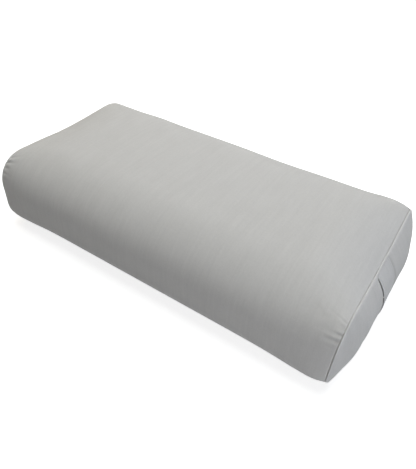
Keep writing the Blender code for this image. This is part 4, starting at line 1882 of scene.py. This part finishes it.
@dataclass
class Handle:
    """A strap of folded cloth, upright over one end, sewn into the top and bottom seams."""

    form: CushionForm
    side: Side
    thickness: float = 0.0020
    hem_width: float = 0.0042
    hem_step: float = 0.001
    hem_rise: float = 0.00025
    inset: float = 0.0009
    proud: float = 0.0003
    proud_power: int = 6
    edge_thickness: float = 0.0010
    edge_turns: tuple[float, ...] = (60.0, 30.0, 0.0, -30.0, -60.0)
    hem_points: int = 4
    middle_points: int = 13
    # Painted highlight on the strap: its reach along the strap from where it meets the top seam, and its
    # width along the strap's edges.
    head_highlight_reach: float = 0.0035
    edge_highlight_width: float = 0.0020
    sunk: float = 0.0002
    tuck: float = 0.0055
    tuck_drop: float = 0.0022
    tuck_pull: float = 0.35
    tuck_steps: int = 6
    rows: int = 64
    stitch_inset: float = 0.0026
    stitches: StitchRow = StitchRow(pitch=0.0027, length=0.0021, thread=0.00024)

    def outer_line(self) -> list[Vector]:
        """The strap's outer line as (place along X, height), with its ends tucked into the seams.

        Returns:
            The line, from the bottom up.
        """
        form = self.form
        lattice, _ = form.end_lattice(self.side, self.inset)
        column = lattice[form.steps.corner]
        foot, head = column[0, 1], column[-1, 1]
        line = []
        for step in range(self.rows + 1):
            up = -math.cos(math.pi * step / self.rows)
            proud = self.sunk + (self.proud - self.sunk) * (1 - abs(up) ** self.proud_power)
            x = form.seam_half + self.inset + form.end_bulge * float(form.dome(0.0, up)) + proud
            line.append(Vector((x, foot + (head - foot) * (up + 1) / 2)))
        return self._tucked(line[::-1], 1)[::-1] + line + self._tucked(line, -1)

    def _tucked(self, line: list[Vector], rise: int) -> list[Vector]:
        """Points that carry a line on into its seam.

        Args:
            line: The line, whose last point it starts from.
            rise: 1 where inwards is up, and -1 where it is down.

        Returns:
            The further points.
        """
        start = line[-1]
        heading = (line[-1] - line[-2]).normalized()
        goal = start + Vector((-self.tuck, rise * self.tuck_drop))
        pull = start + heading * self.tuck * self.tuck_pull
        points = []
        for step in range(1, self.tuck_steps + 1):
            share = step / self.tuck_steps
            spot = start * (1 - share) ** 2 + pull * 2 * share * (1 - share) + goal * share**2
            points.append(spot)
        return points

    def profile(self) -> list[tuple[float, float]]:
        """The strap's cross-section.

        Returns:
            Its points as (across, out), once round.
        """
        half = self.form.strap_half
        round_off = self.edge_thickness / 2
        edge = np.linspace(half - round_off, half - self.hem_width, self.hem_points)
        middle = np.linspace(-half + self.hem_width, half - self.hem_width, self.middle_points)
        across = np.concatenate([-edge, middle[1:-1], edge[::-1]])
        hem = smooth_step(half - self.hem_width - self.hem_step, half - self.hem_width, np.abs(across))
        rise = self.hem_rise * (hem - 1)
        depth = self.edge_thickness + (self.thickness - self.edge_thickness) * (1 - hem)
        outer = list(zip(across, rise))
        inner = list(zip(across[::-1], -depth[::-1]))
        right = [
            (half - round_off + round_off * math.cos(turn), round_off * (math.sin(turn) - 1))
            for turn in np.radians(self.edge_turns)
        ]
        left = [(-y, -self.edge_thickness - out) for y, out in right]
        return outer + right + inner + left

    def place(self, line: list[Vector], index: int, across: float, out: float) -> tuple[float, float, float]:
        """A point of the strap.

        Args:
            line: The strap's outer line.
            index: Which point of it.
            across: The distance from the strap's middle.
            out: The distance out from the strap's face.

        Returns:
            The point in the frame.
        """
        before = line[max(index - 1, 0)]
        after = line[min(index + 1, len(line) - 1)]
        way = (after - before).normalized()
        spot = line[index] + Vector((way.y, -way.x)) * out
        return (self.side.value * spot.x, self.side.value * across, spot.y)

    def build(self, finishes: Finishes) -> None:
        """Makes the strap and its stitches, and joins them to the frame.

        Args:
            finishes: The bolster's finishes.
        """
        word = self.side.word
        line = self.outer_line()
        profile = self.profile()
        lengths = np.concatenate([[0.0], np.cumsum([(b - a).length for a, b in zip(line, line[1:])])])
        head = lengths[-1 - self.tuck_steps]
        half = self.form.strap_half
        points = []
        uv = []
        marks = []
        for index, length in enumerate(lengths):
            # Painted highlight at the strap's head by the top seam and along its edges.
            rim = 1 - smooth_step(0.0, self.head_highlight_reach, abs(length - head))
            for across, out in profile + profile[:1]:
                points.append(self.place(line, index, across, out))
                uv.append((across, length))
                marks.append(max(rim, smooth_step(half - self.edge_highlight_width, half, abs(across))))
        faces = capped_faces(len(line), len(profile) + 1)
        draft = Draft(np.array(points), faces, np.array(uv), {HIGHLIGHT_MARK: np.array(marks)})
        strap = draft.to_object(f"strap_{word}", finishes.strap)
        point_outwards(strap)
        settle(strap, "bolster", [f"handle_{word}"])

        rows = [
            [self.place(line, index, across, 0.0) for index in range(len(line))]
            for across in (-half + self.stitch_inset, half - self.stitch_inset)
        ]
        sewn = self.stitches.sew(f"strap_stitches_{word}", rows, finishes.thread)
        settle(sewn, "bolster")


# The zip


@dataclass(frozen=True)
class ZipPlaces:
    """Where the zip's pieces sit, measured from the frame."""

    middle: float
    tape_face: float
    tape_half: float
    tape_width: float
    coil_foot: float
    coil_top: float
    coil_half: float
    hinge: Vector

    @classmethod
    def from_frame(cls) -> "ZipPlaces":
        """Reads the places from the frame.

        Returns:
            The places.
        """
        tape_low, tape_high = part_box("zip_tape_upper")
        coil_low, coil_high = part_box("zip_coil_upper")
        slider_low, slider_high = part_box("zip_slider")
        tab_low, tab_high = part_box("zip_pull_tab")
        middle = (slider_low.z + slider_high.z) / 2
        return cls(
            middle=middle,
            tape_face=tape_high.y,
            tape_half=tape_high.x,
            tape_width=tape_high.z - tape_low.z,
            coil_foot=coil_low.y,
            coil_top=coil_high.y,
            coil_half=coil_high.x,
            hinge=Vector(((slider_low.x + slider_high.x) / 2, (tab_low.y + tab_high.y) / 2, middle)),
        )


@dataclass
class ZipTape:
    """One cloth tape, with a thicker cord along its far edge."""

    places: ZipPlaces
    half: Half
    gap: float = 0.00015
    thickness: float = 0.0007
    cord: float = 0.0008
    cord_shares: tuple[float, ...] = (1.6, 1.0, 0.5, 0.1, 0.0)
    edge_shares: tuple[float, float] = (0.15, 0.35)
    setback: float = 0.0001
    columns: int = 12
    rings: int = 60

    def build(self, finishes: Finishes) -> None:
        """Makes the tape and joins it to the frame.

        Args:
            finishes: The bolster's finishes.
        """
        places = self.places
        width = places.tape_width
        plain = np.linspace(0, width - 2 * self.cord, self.columns)
        across = np.concatenate([plain, width - self.cord * np.array(self.cord_shares)])
        thicker = np.clip((across - width + 2 * self.cord) / self.cord, 0, 1)
        swell = (self.cord - self.thickness) * thicker
        swell[-2:] = -self.thickness * np.array(self.edge_shares)
        front = places.tape_face - self.setback + swell / 2
        back = places.tape_face - self.thickness - swell / 2
        outline = [*zip(across, front), *zip(across[::-1], back[::-1])]
        outline.append(outline[0])
        xs = np.linspace(-places.tape_half, places.tape_half, self.rings)
        turn = self.half.value
        points = [(x, y, places.middle + turn * (self.gap + z)) for x in xs for z, y in outline]
        uv = [(x, z) for x in xs for z, _ in outline]
        draft = Draft(np.array(points), capped_faces(self.rings, len(outline)), np.array(uv))
        tape = draft.to_object(f"tape_{self.half.word}", finishes.tape)
        point_outwards(tape)
        settle(tape, "bolster", [f"zip_tape_{self.half.word}"])


@dataclass
class ZipCoil:
    """One row of teeth: rounded nylon loops along the tape's edge, made by a node tree."""

    places: ZipPlaces
    half: Half
    pitch: float = 0.0016
    wire: float = 0.00031
    wire_sides: int = 6
    reach: float = 0.0003
    lean: float = 7.0
    corner: float = 0.00062
    corner_points: int = 2

    def tree(self, material: bpy.types.Material) -> bpy.types.NodeTree:
        """Builds the node tree.

        Args:
            material: The coil's finish.

        Returns:
            The tree, whose inputs are the line, the pitch and the loop's sizes.
        """
        graph = RepeatGraph("zip_coil", ("Wire", "Loop Width", "Loop Height", "Corner", "Lean"))
        feeds = graph.inputs
        box = {"Width": feeds["Loop Height"], "Height": feeds["Loop Width"]}
        loop = graph.node("GeometryNodeCurvePrimitiveQuadrilateral", {}, box)
        corner = {"Curve": loop, "Count": self.corner_points, "Radius": feeds["Corner"], "Limit Radius": True}
        rounded = graph.node("GeometryNodeFilletCurve", {"mode": "POLY"}, corner)
        section = {"Resolution": self.wire_sides, "Radius": feeds["Wire"]}
        wire = graph.node("GeometryNodeCurvePrimitiveCircle", {}, section)
        tooth = graph.node("GeometryNodeCurveToMesh", {}, {"Curve": rounded, "Profile Curve": wire})
        turn = {"Geometry": tooth, "Rotation": (math.pi / 2, 0.0, math.pi / 2)}
        upright = graph.node("GeometryNodeTransform", {}, turn)
        return graph.repeat(upright, {"Rotation": graph.vector(0.0, feeds["Lean"], 0.0)}, material)

    def build(self, finishes: Finishes) -> None:
        """Makes the row of teeth and joins it to the frame.

        Args:
            finishes: The bolster's finishes.
        """
        places = self.places
        turn, word = self.half.value, self.half.word
        low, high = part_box(f"zip_coil_{word}")
        height = places.coil_top - places.coil_foot
        width = high.z - low.z + self.reach
        shift = self.pitch / 2 if self.half is Half.UPPER else 0.0
        y = places.coil_foot + height / 2
        z = places.middle + turn * (width / 2 - self.reach)
        reach = places.coil_half - self.wire
        ends = [(-reach + shift, y, z), (reach - self.pitch / 2 + shift, y, z)]
        sizes = {
            "Pitch": self.pitch,
            "Wire": self.wire,
            "Loop Width": width - 2 * self.wire,
            "Loop Height": height - 2 * self.wire,
            "Corner": self.corner,
            "Lean": math.radians(self.lean) * turn,
        }
        coil = grow(f"coil_{word}", [ends], self.tree(finishes.coil), sizes)
        settle(coil, "bolster", [f"zip_coil_{word}"])


@dataclass(frozen=True)
class ZipStop:
    """A stop: a small clip of plate, pinched over the edge of the tape."""

    name: str
    node: str
    edge: float = 0.0005
    pinch: float = 0.0005
    pinch_reach: float = 0.16
    segments: int = 6
    edge_segments: int = 3

    def build(self, finishes: Finishes) -> None:
        """Makes the stop and joins it to the frame.

        Args:
            finishes: The bolster's finishes.
        """
        low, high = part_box(self.node)
        mesh = bpy.data.meshes.new(self.name)
        with reshaped(mesh) as body:
            bmesh.ops.create_grid(body, x_segments=self.segments, y_segments=self.segments, size=0.5)
            bmesh.ops.solidify(body, geom=body.faces, thickness=1.0)
            middle = sum(vert.co.z for vert in body.verts) / len(body.verts)
            for vert in body.verts:
                share = Vector((vert.co.x, vert.co.z - middle, vert.co.y))
                dent = math.exp(-((share.x / self.pinch_reach) ** 2)) * self.pinch if share.y > 0 else 0.0
                x, y, z = ((a + b) / 2 + part * (b - a) for a, b, part in zip(low, high, share))
                vert.co = (x, y - dent, z)
            bmesh.ops.recalc_face_normals(body, faces=body.faces)
        mesh.materials.append(finishes.nickel)
        mesh.shade_smooth()
        stop = put(self.name, mesh)
        bevel = stop.modifiers.new("Edges", "BEVEL")
        bevel.width = self.edge
        bevel.segments = self.edge_segments
        bevel.limit_method = "ANGLE"
        settle(stop, "bolster", [self.node])


def flat_plate(
    name: str, outlines: Sequence[Sequence[tuple[float, float]]], half_thickness: float, round_off: float
) -> bpy.types.Object:
    """A flat plate from outlines, with its edges rounded.

    Args:
        name: The plate's name.
        outlines: The outer outline, and the holes' outlines.
        half_thickness: Half its thickness.
        round_off: How far its edges are rounded; the outlines grow by it.

    Returns:
        The plate as a curve in its own XY plane.
    """
    curve = line_curve(name, outlines, "2D", True)
    curve.fill_mode = "BOTH"
    curve.extrude = half_thickness - round_off
    curve.bevel_depth = round_off
    curve.bevel_resolution = PLATE_EDGE_STEPS
    return put(name, curve)


def mirrored(corners: Sequence[tuple[float, float, float]]) -> list[tuple[float, float, float]]:
    """All corners of a symmetric outline.

    Args:
        corners: The x, y and radius of each corner on its lower side, from left to right.

    Returns:
        These corners and those on its upper side, anticlockwise.
    """
    return [*corners, *((x, -y, radius) for x, y, radius in reversed(corners))]


def rounded_outline(
    corners: Sequence[tuple[float, float, float]], steps: int = 8
) -> list[tuple[float, float]]:
    """An outline with rounded corners.

    Args:
        corners: Each corner's x, y and radius, anticlockwise.
        steps: How many points a corner has.

    Returns:
        The outline.
    """
    outline = []
    for index, (x, y, radius) in enumerate(corners):
        here = Vector((x, y))
        before = Vector(corners[index - 1][:2]) - here
        after = Vector(corners[(index + 1) % len(corners)][:2]) - here
        half = before.angle(after) / 2
        middle = (before.normalized() + after.normalized()).normalized()
        centre = here + middle * (radius / math.sin(half))
        swing = math.copysign(math.pi / 2 - half, before.x * after.y - before.y * after.x)
        inward = math.atan2(-middle.y, -middle.x)
        for step in range(steps + 1):
            angle = inward + swing * (1 - 2 * step / steps)
            outline.append((centre.x + radius * math.cos(angle), centre.y + radius * math.sin(angle)))
    return outline


@dataclass
class ZipSlider:
    """The slider: a shaped plate with turned-down flanges, a bridge and a pull tab."""

    places: ZipPlaces
    edge: float = 0.00025
    wall: float = 0.0009
    narrow_share: float = 0.80
    neck_share: float = 0.2
    shoulder_share: float = 0.55
    plate_radii: tuple[float, ...] = (0.0012, 0.003, 0.002, 0.0008)
    flange_inset: float = 0.0006
    flange_overlap_share: float = 0.3
    bridge_width: float = 0.0018
    bridge_wall: float = 0.0011
    bridge_clear: float = 0.0012
    bridge_radius: float = 0.0003
    bridge_step: int = 15
    bridge_corner_steps: int = 4
    tab_thickness: float = 0.0011
    tab_hole: float = 0.0013
    tab_hole_to_end: float = 0.0034
    tab_hole_sides: int = 24
    tab_tip_width: float = 0.0062
    tab_tip_radius: float = 0.0022
    tab_neck_width: float = 0.0050
    tab_neck_share: float = 0.45
    tab_neck_radius: float = 0.006
    tab_shoulder_share: float = 0.18
    tab_shoulder_radius: float = 0.003
    tab_head_share: float = 0.6
    slot_play: float = 0.0004
    slot_start_share: float = 0.25
    slot_end_radius: float = 0.0005
    slot_start_radius: float = 0.0003
    bar: float = 0.0008
    bar_sides: int = 20

    def body(self, finishes: Finishes) -> bpy.types.Object:
        """Makes the slider's body.

        Args:
            finishes: The bolster's finishes.

        Returns:
            The body, at its rest place.
        """
        low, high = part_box("zip_slider")
        half = (high.x - low.x) / 2
        wide = (high.z - low.z) / 2
        narrow = wide * self.narrow_share
        neck, shoulder = half * self.neck_share, half * self.shoulder_share
        plate_top = self.places.hinge.y - self.bridge_clear
        foot = self.places.coil_foot

        tip = half - self.edge
        line = [(-tip, narrow), (neck, narrow), (shoulder, wide), (tip, wide)]
        corners = [(x, self.edge - z, radius) for (x, z), radius in zip(line, self.plate_radii)]
        outline = rounded_outline(mirrored(corners))
        pieces = [self._stood("slider_plate", [outline], self.wall, plate_top - self.wall / 2)]

        depth = plate_top - foot - self.wall * self.flange_overlap_share
        tip = half - self.flange_inset
        line = [(-tip, narrow), (neck, narrow), (shoulder, wide), (tip, wide)]
        thin = self.wall / 2 - self.edge
        for turn in (-1, 1):
            path = [(x, turn * (z - self.wall / 2)) for x, z in line]
            strip = [(x, z - thin) for x, z in path] + [(x, z + thin) for x, z in path[::-1]]
            pieces.append(self._stood("slider_flange", [strip], depth, foot + depth / 2))
        pieces.append(self._bridge())
        return unite("slider_body", pieces, finishes.nickel)

    def _stood(
        self, name: str, outlines: Sequence[Sequence[tuple[float, float]]], thickness: float, y: float
    ) -> bpy.types.Object:
        """Makes a flat plate that faces the rear.

        Args:
            name: The plate's name.
            outlines: The outer outline, and the holes' outlines, about the hinge.
            thickness: Its thickness.
            y: Where its middle comes to lie.

        Returns:
            The plate as a plain mesh.
        """
        hinge = self.places.hinge
        plate = flat_plate(name, outlines, thickness / 2, self.edge)
        place = Matrix.Translation((hinge.x, y, hinge.z))
        plate.matrix_world = place @ Matrix.Rotation(math.pi / 2, 4, "X")
        return plain_mesh(plate, name)

    def _bridge(self) -> bpy.types.Object:
        """Makes the arch that holds the pull tab's bar.

        Returns:
            The arch.
        """
        hinge = self.places.hinge
        centre = self.bridge_clear + self.bridge_wall / 2
        angles = [math.radians(degrees) for degrees in range(0, 181, self.bridge_step)]
        arc = [(centre * math.cos(angle), centre * math.sin(angle)) for angle in angles]
        path = [(centre, -centre), *arc, (-centre, -centre)]
        line = [(hinge.x + x, hinge.y + y, hinge.z) for x, y in path]
        curve = line_curve("slider_bridge", [line], "3D", False)
        half_wall, half_width = self.bridge_wall / 2, self.bridge_width / 2
        corners = mirrored([(x, -half_width, self.bridge_radius) for x in (-half_wall, half_wall)])
        section = rounded_outline(corners, self.bridge_corner_steps)
        name = "slider_bridge_profile"
        profile = put(name, line_curve(name, [section], "2D", True))
        curve.use_fill_caps = True
        curve.bevel_mode = "OBJECT"
        curve.bevel_object = profile
        arch = plain_mesh(put("slider_bridge", curve), "slider_bridge")
        bpy.data.objects.remove(profile, do_unlink=True)
        return arch

    def tab(self, finishes: Finishes) -> bpy.types.Object:
        """Makes the pull tab.

        Args:
            finishes: The bolster's finishes.

        Returns:
            The tab, at its rest place.
        """
        hinge = self.places.hinge
        round_off = self.edge
        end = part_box("zip_pull_tab")[0].x - hinge.x
        tip = end + round_off
        half_tip = self.tab_tip_width / 2 - round_off
        half_neck = self.tab_neck_width / 2 - round_off
        corners = [
            (tip, -half_tip, self.tab_tip_radius),
            (tip * self.tab_neck_share, -half_neck, self.tab_neck_radius),
            (tip * self.tab_shoulder_share, -half_tip, self.tab_shoulder_radius),
            (self.bar - round_off, -half_tip, self.bar * self.tab_head_share),
        ]
        outer = rounded_outline(mirrored(corners))
        slot_end = -(self.bridge_clear + self.bridge_wall + self.slot_play) - round_off
        slot_half = self.bridge_width / 2 + self.slot_play + round_off
        corners = [
            (slot_end, -slot_half, self.slot_end_radius),
            (self.bar * self.slot_start_share, -slot_half, self.slot_start_radius),
        ]
        slot = rounded_outline(mirrored(corners))
        middle = end + self.tab_hole_to_end
        radius = self.tab_hole + round_off
        angles = np.linspace(0, TURN, self.tab_hole_sides + 1)[:-1]
        hole = [(middle + radius * math.cos(angle), radius * math.sin(angle)) for angle in angles]
        plate = self._stood("tab_plate", [outer, slot, hole], self.tab_thickness, hinge.y)

        mesh = bpy.data.meshes.new("tab_bar")
        with reshaped(mesh) as body:
            bmesh.ops.create_cone(
                body,
                cap_ends=True,
                segments=self.bar_sides,
                radius1=self.bar,
                radius2=self.bar,
                depth=self.tab_tip_width - self.tab_thickness,
            )
            bmesh.ops.translate(body, verts=body.verts, vec=hinge)
        return unite("tab", [plate, put("tab_bar", mesh)], finishes.nickel)

    def build(self, finishes: Finishes) -> None:
        """Makes the slider and its tab, and joins them to the frame.

        Args:
            finishes: The bolster's finishes.
        """
        settle(self.body(finishes), "slider", ["zip_slider"])
        settle(self.tab(finishes), "pull_tab", ["zip_pull_tab"])


@dataclass
class Zip:
    """The coil zip in the rear side, with its topstitching."""

    form: CushionForm
    stitch_inset: float = 0.003
    stitch_rise: float = 0.0001
    stitches: StitchRow = StitchRow(pitch=0.0030, length=0.0024, thread=0.00025)

    def build(self, finishes: Finishes) -> None:
        """Makes the zip and joins it to the frame.

        Args:
            finishes: The bolster's finishes.
        """
        places = ZipPlaces.from_frame()
        for half in Half:
            ZipTape(places, half).build(finishes)
            ZipCoil(places, half).build(finishes)
        for name in ("top_stop_upper", "top_stop_lower", "bottom_stop"):
            ZipStop(name, f"zip_{name}").build(finishes)
        ZipSlider(places).build(finishes)
        self._sew(finishes)

    def _sew(self, finishes: Finishes) -> None:
        """Sews the topstitching round the window.

        Args:
            finishes: The bolster's finishes.
        """
        form = self.form
        half = form.window_half + self.stitch_inset
        rise = form.window_rise + self.stitch_inset
        y = form.half_width + self.stitch_rise
        corners = [(-half, -rise), (half, -rise), (half, rise), (-half, rise)]
        line = [(x, y, form.widest_height + z) for x, z in corners]
        sewn = self.stitches.sew("zip_topstitching", [line], finishes.thread, closed=True)
        settle(sewn, "bolster")

# The filling


@dataclass
class Filling:
    """What the cover holds: a liner, fibre and a foam core."""

    form: CushionForm
    liner_half: float = 0.291
    liner_inset: float = 0.0026
    liner_end_inset: float = 0.0037
    liner_setback: float = 0.002
    liner_cloth: float = 0.0008
    turned_to: float = 0.2828
    fibre_half: float = 0.277
    fibre_inset: float = 0.0048
    fibre_layer: float = 0.014
    pad_setback: float = 0.0037
    pad_back: float = 0.2773
    foam_half: float = 0.2767
    foam_inset: float = 0.0193
    rings: int = 48

    def tube(self, half_length: float, inset: float) -> Draft:
        """A piece of the cushion's girth, open at both ends.

        Args:
            half_length: Half its length.
            inset: How far inside the cover it lies.

        Returns:
            Its skin, facing outwards.
        """
        girth = self.form.girth_lengths()
        xs = np.sin(np.linspace(-math.pi / 2, math.pi / 2, self.rings)) * half_length
        points = [in_space(x, self.form.ring(x, inset)) for x in xs]
        uv = [in_space(x, girth) for x in xs]
        faces = grid_faces(self.rings, len(girth))
        return Draft(np.concatenate(points), faces, np.concatenate(uv))

    def dome(self, side: Side, inset: float, setback: float, back: float) -> Draft:
        """A domed end with its edge turned in.

        Args:
            side: Which end.
            inset: How far inside the cover it lies.
            setback: How far behind the cover's dome it lies.
            back: Where its turned edge ends.

        Returns:
            Its skin.
        """
        form = self.form
        sign = side.value
        lattice, shares = form.end_lattice(side, inset, form.seam_half - setback)
        columns, rows = lattice.shape[:2]
        rise = form.end_bulge * form.dome(shares[..., 0], shares[..., 1])
        rise = rise - form.hollow(lattice[..., 0], shares[..., 1])
        rise = rise + form.end_swell(side, lattice, shares)
        x = sign * (form.seam_half + rise - setback).ravel()
        skin = in_space(x, lattice.reshape(-1, 2) * (sign, 1))
        border = lattice_border(columns, rows)
        turned = form.end_lattice(side, inset, back)[0].reshape(-1, 2)[border]
        edge = in_space(sign * back, turned * (sign, 1))
        faces = grid_faces(columns, rows, flip=True)
        faces += band_faces(border, range(len(skin), len(skin) + len(edge)))
        points = np.concatenate([skin, edge])
        return Draft(points, faces, points[:, 1:])

    def build(self, finishes: Finishes) -> None:
        """Makes the filling and joins it to the frame.

        Args:
            finishes: The bolster's finishes.
        """
        liner = self.tube(self.liner_half, self.liner_inset).to_object("liner_bag", finishes.liner)
        add_wall(liner, self.liner_cloth)
        settle(liner, "bolster", ["liner_body"])
        for side in Side:
            skin = self.dome(side, self.liner_end_inset, self.liner_setback, self.turned_to)
            end = skin.to_object(f"liner_bag_end_{side.word}", finishes.liner)
            point_outwards(end)
            add_wall(end, self.liner_cloth)
            settle(end, "bolster", [f"liner_end_{side.word}"])
            skin = self.dome(side, self.fibre_inset, self.pad_setback, self.pad_back)
            pad = skin.to_object(f"fibre_cushion_{side.word}", finishes.fibre)
            close_ends(pad)
            settle(pad, "bolster", [f"fibre_end_pad_{side.word}"])
        wrap = self.tube(self.fibre_half, self.fibre_inset).to_object("fibre_layer", finishes.fibre)
        add_wall(wrap, self.fibre_layer)
        settle(wrap, "bolster", ["fibre_wrap"])
        foam = self.tube(self.foam_half, self.foam_inset).to_object("foam_block", finishes.foam)
        close_ends(foam)
        settle(foam, "bolster", ["foam_core"])


# The room, the light and the camera


@dataclass(frozen=True)
class Camera:
    """The photograph's viewpoint, found from the cushion's outline and its end seam."""

    target: tuple[float, float, float] = (0.05355, -0.05311, 0.075)
    azimuth: float = 32.967
    elevation: float = 41.837
    distance: float = 0.67187
    roll: float = 1.410
    focal_pixels: float = 444.11
    picture: tuple[int, int] = (416, 469)
    sensor: float = 36.0
    clip: tuple[float, float] = (0.01, 50.0)

    def build(self) -> None:
        """Makes the scene's camera."""
        data = bpy.data.cameras.new("camera")
        data.sensor_width = self.sensor
        data.lens = self.sensor * self.focal_pixels / max(self.picture)
        data.clip_start, data.clip_end = self.clip
        turn, lift, roll = (math.radians(angle) for angle in (self.azimuth, self.elevation, self.roll))
        back = Vector((math.sin(turn) * math.cos(lift), -math.cos(turn) * math.cos(lift), math.sin(lift)))
        right = Vector((math.cos(turn), math.sin(turn), 0.0))
        up = back.cross(right)
        across = right * math.cos(roll) + up * math.sin(roll)
        upright = up * math.cos(roll) - right * math.sin(roll)
        place = Vector(self.target) + back * self.distance
        axes = Matrix((across, upright, back)).transposed().to_4x4()
        camera = put("camera", data)
        camera.matrix_world = Matrix.Translation(place) @ axes
        bpy.context.scene.camera = camera


@dataclass(frozen=True)
class SoftBox:
    """A large square lamp that points at the bolster."""

    name: str
    place: tuple[float, float, float]
    size: float
    power: float
    colour: tuple[float, float, float] = (1.0, 1.0, 1.0)
    aim: tuple[float, float, float] = (0.0, 0.0, 0.06)

    def build(self) -> None:
        """Makes the lamp."""
        data = bpy.data.lights.new(self.name, "AREA")
        data.shape = "SQUARE"
        data.size = self.size
        data.energy = self.power
        data.color = self.colour
        lamp = put(self.name, data)
        lamp.location = self.place
        way = Vector(self.aim) - Vector(self.place)
        lamp.rotation_mode = "QUATERNION"
        lamp.rotation_quaternion = way.to_track_quat("-Z", "Y")


@dataclass(frozen=True)
class Studio:
    """A plain white floor under soft light."""

    floor_half: float = 9.0
    floor_drop: float = 0.0004
    floor_level: float = 0.62
    seen_glow: float = 0.78
    ambient: float = 0.04
    boxes: tuple[SoftBox, ...] = (
        SoftBox("overhead", (0.0, 0.35, 1.9), 1.6, 29.0, (0.957, 0.992, 1.0)),
        SoftBox("rear", (0.0, 1.6, 1.3), 1.4, 11.0, (0.960, 0.930, 1.0)),
        SoftBox("right_side", (1.9, -0.45, 0.30), 1.1, 5.4, (0.715, 0.833, 1.0)),
        SoftBox("front", (1.45, -1.4, 0.42), 1.4, 8.4, (0.980, 0.955, 1.0)),
        SoftBox("low_corner", (0.62, -0.62, 0.10), 0.3, 0.5, (0.93, 0.96, 1.0), (0.28, -0.14, 0.03)),
        SoftBox("left_side", (-1.6, 0.2, 1.3), 1.4, 4.6, (1.0, 0.76, 0.36)),
    )

    def floor(self) -> None:
        """Makes the floor, which looks white and keeps the bolster's shadow."""
        half = self.floor_half
        corners = [(-half, -half), (half, -half), (half, half), (-half, half)]
        mesh = bpy.data.meshes.new("floor")
        mesh.from_pydata([(x, y, -self.floor_drop) for x, y in corners], [], [(0, 1, 2, 3)])
        graph = SurfaceGraph("floor_white")
        matt = graph.node("ShaderNodeBsdfDiffuse", {}, {"Color": grey(self.floor_level)})
        glow = graph.node("ShaderNodeEmission", {}, {"Strength": graph.seen() * self.seen_glow})
        both = graph.node("ShaderNodeAddShader", {}, {0: matt, 1: glow})
        graph.node("ShaderNodeOutputMaterial", {}, {"Surface": both})
        mesh.materials.append(graph.material)
        put("floor", mesh)

    def world(self) -> None:
        """Makes the world: white where it is seen, and a plain level of light."""
        world = bpy.data.worlds.new("studio")
        world.use_nodes = True
        graph = Graph(world.node_tree)
        strength = self.ambient + graph.seen() * (1 - self.ambient)
        light = graph.node("ShaderNodeBackground", {}, {"Color": grey(1.0), "Strength": strength})
        graph.node("ShaderNodeOutputWorld", {}, {"Surface": light})
        bpy.context.scene.world = world

    def build(self) -> None:
        """Makes the floor, the world and the lamps."""
        self.floor()
        self.world()
        for box in self.boxes:
            box.build()
        bpy.context.scene.view_settings.view_transform = "Standard"


def main() -> None:
    """Builds the bolster's looks, the studio and the camera."""
    logging.basicConfig(level=logging.INFO, format="%(name)s: %(message)s")
    Camera().build()
    finishes = Finishes()
    form = CushionForm.from_frame()
    Cover(form).build(finishes)
    for side in Side:
        Handle(form, side).build(finishes)
    Zip(form).build(finishes)
    Filling(form).build(finishes)
    Studio().build()


if __name__ == "__main__":
    main()
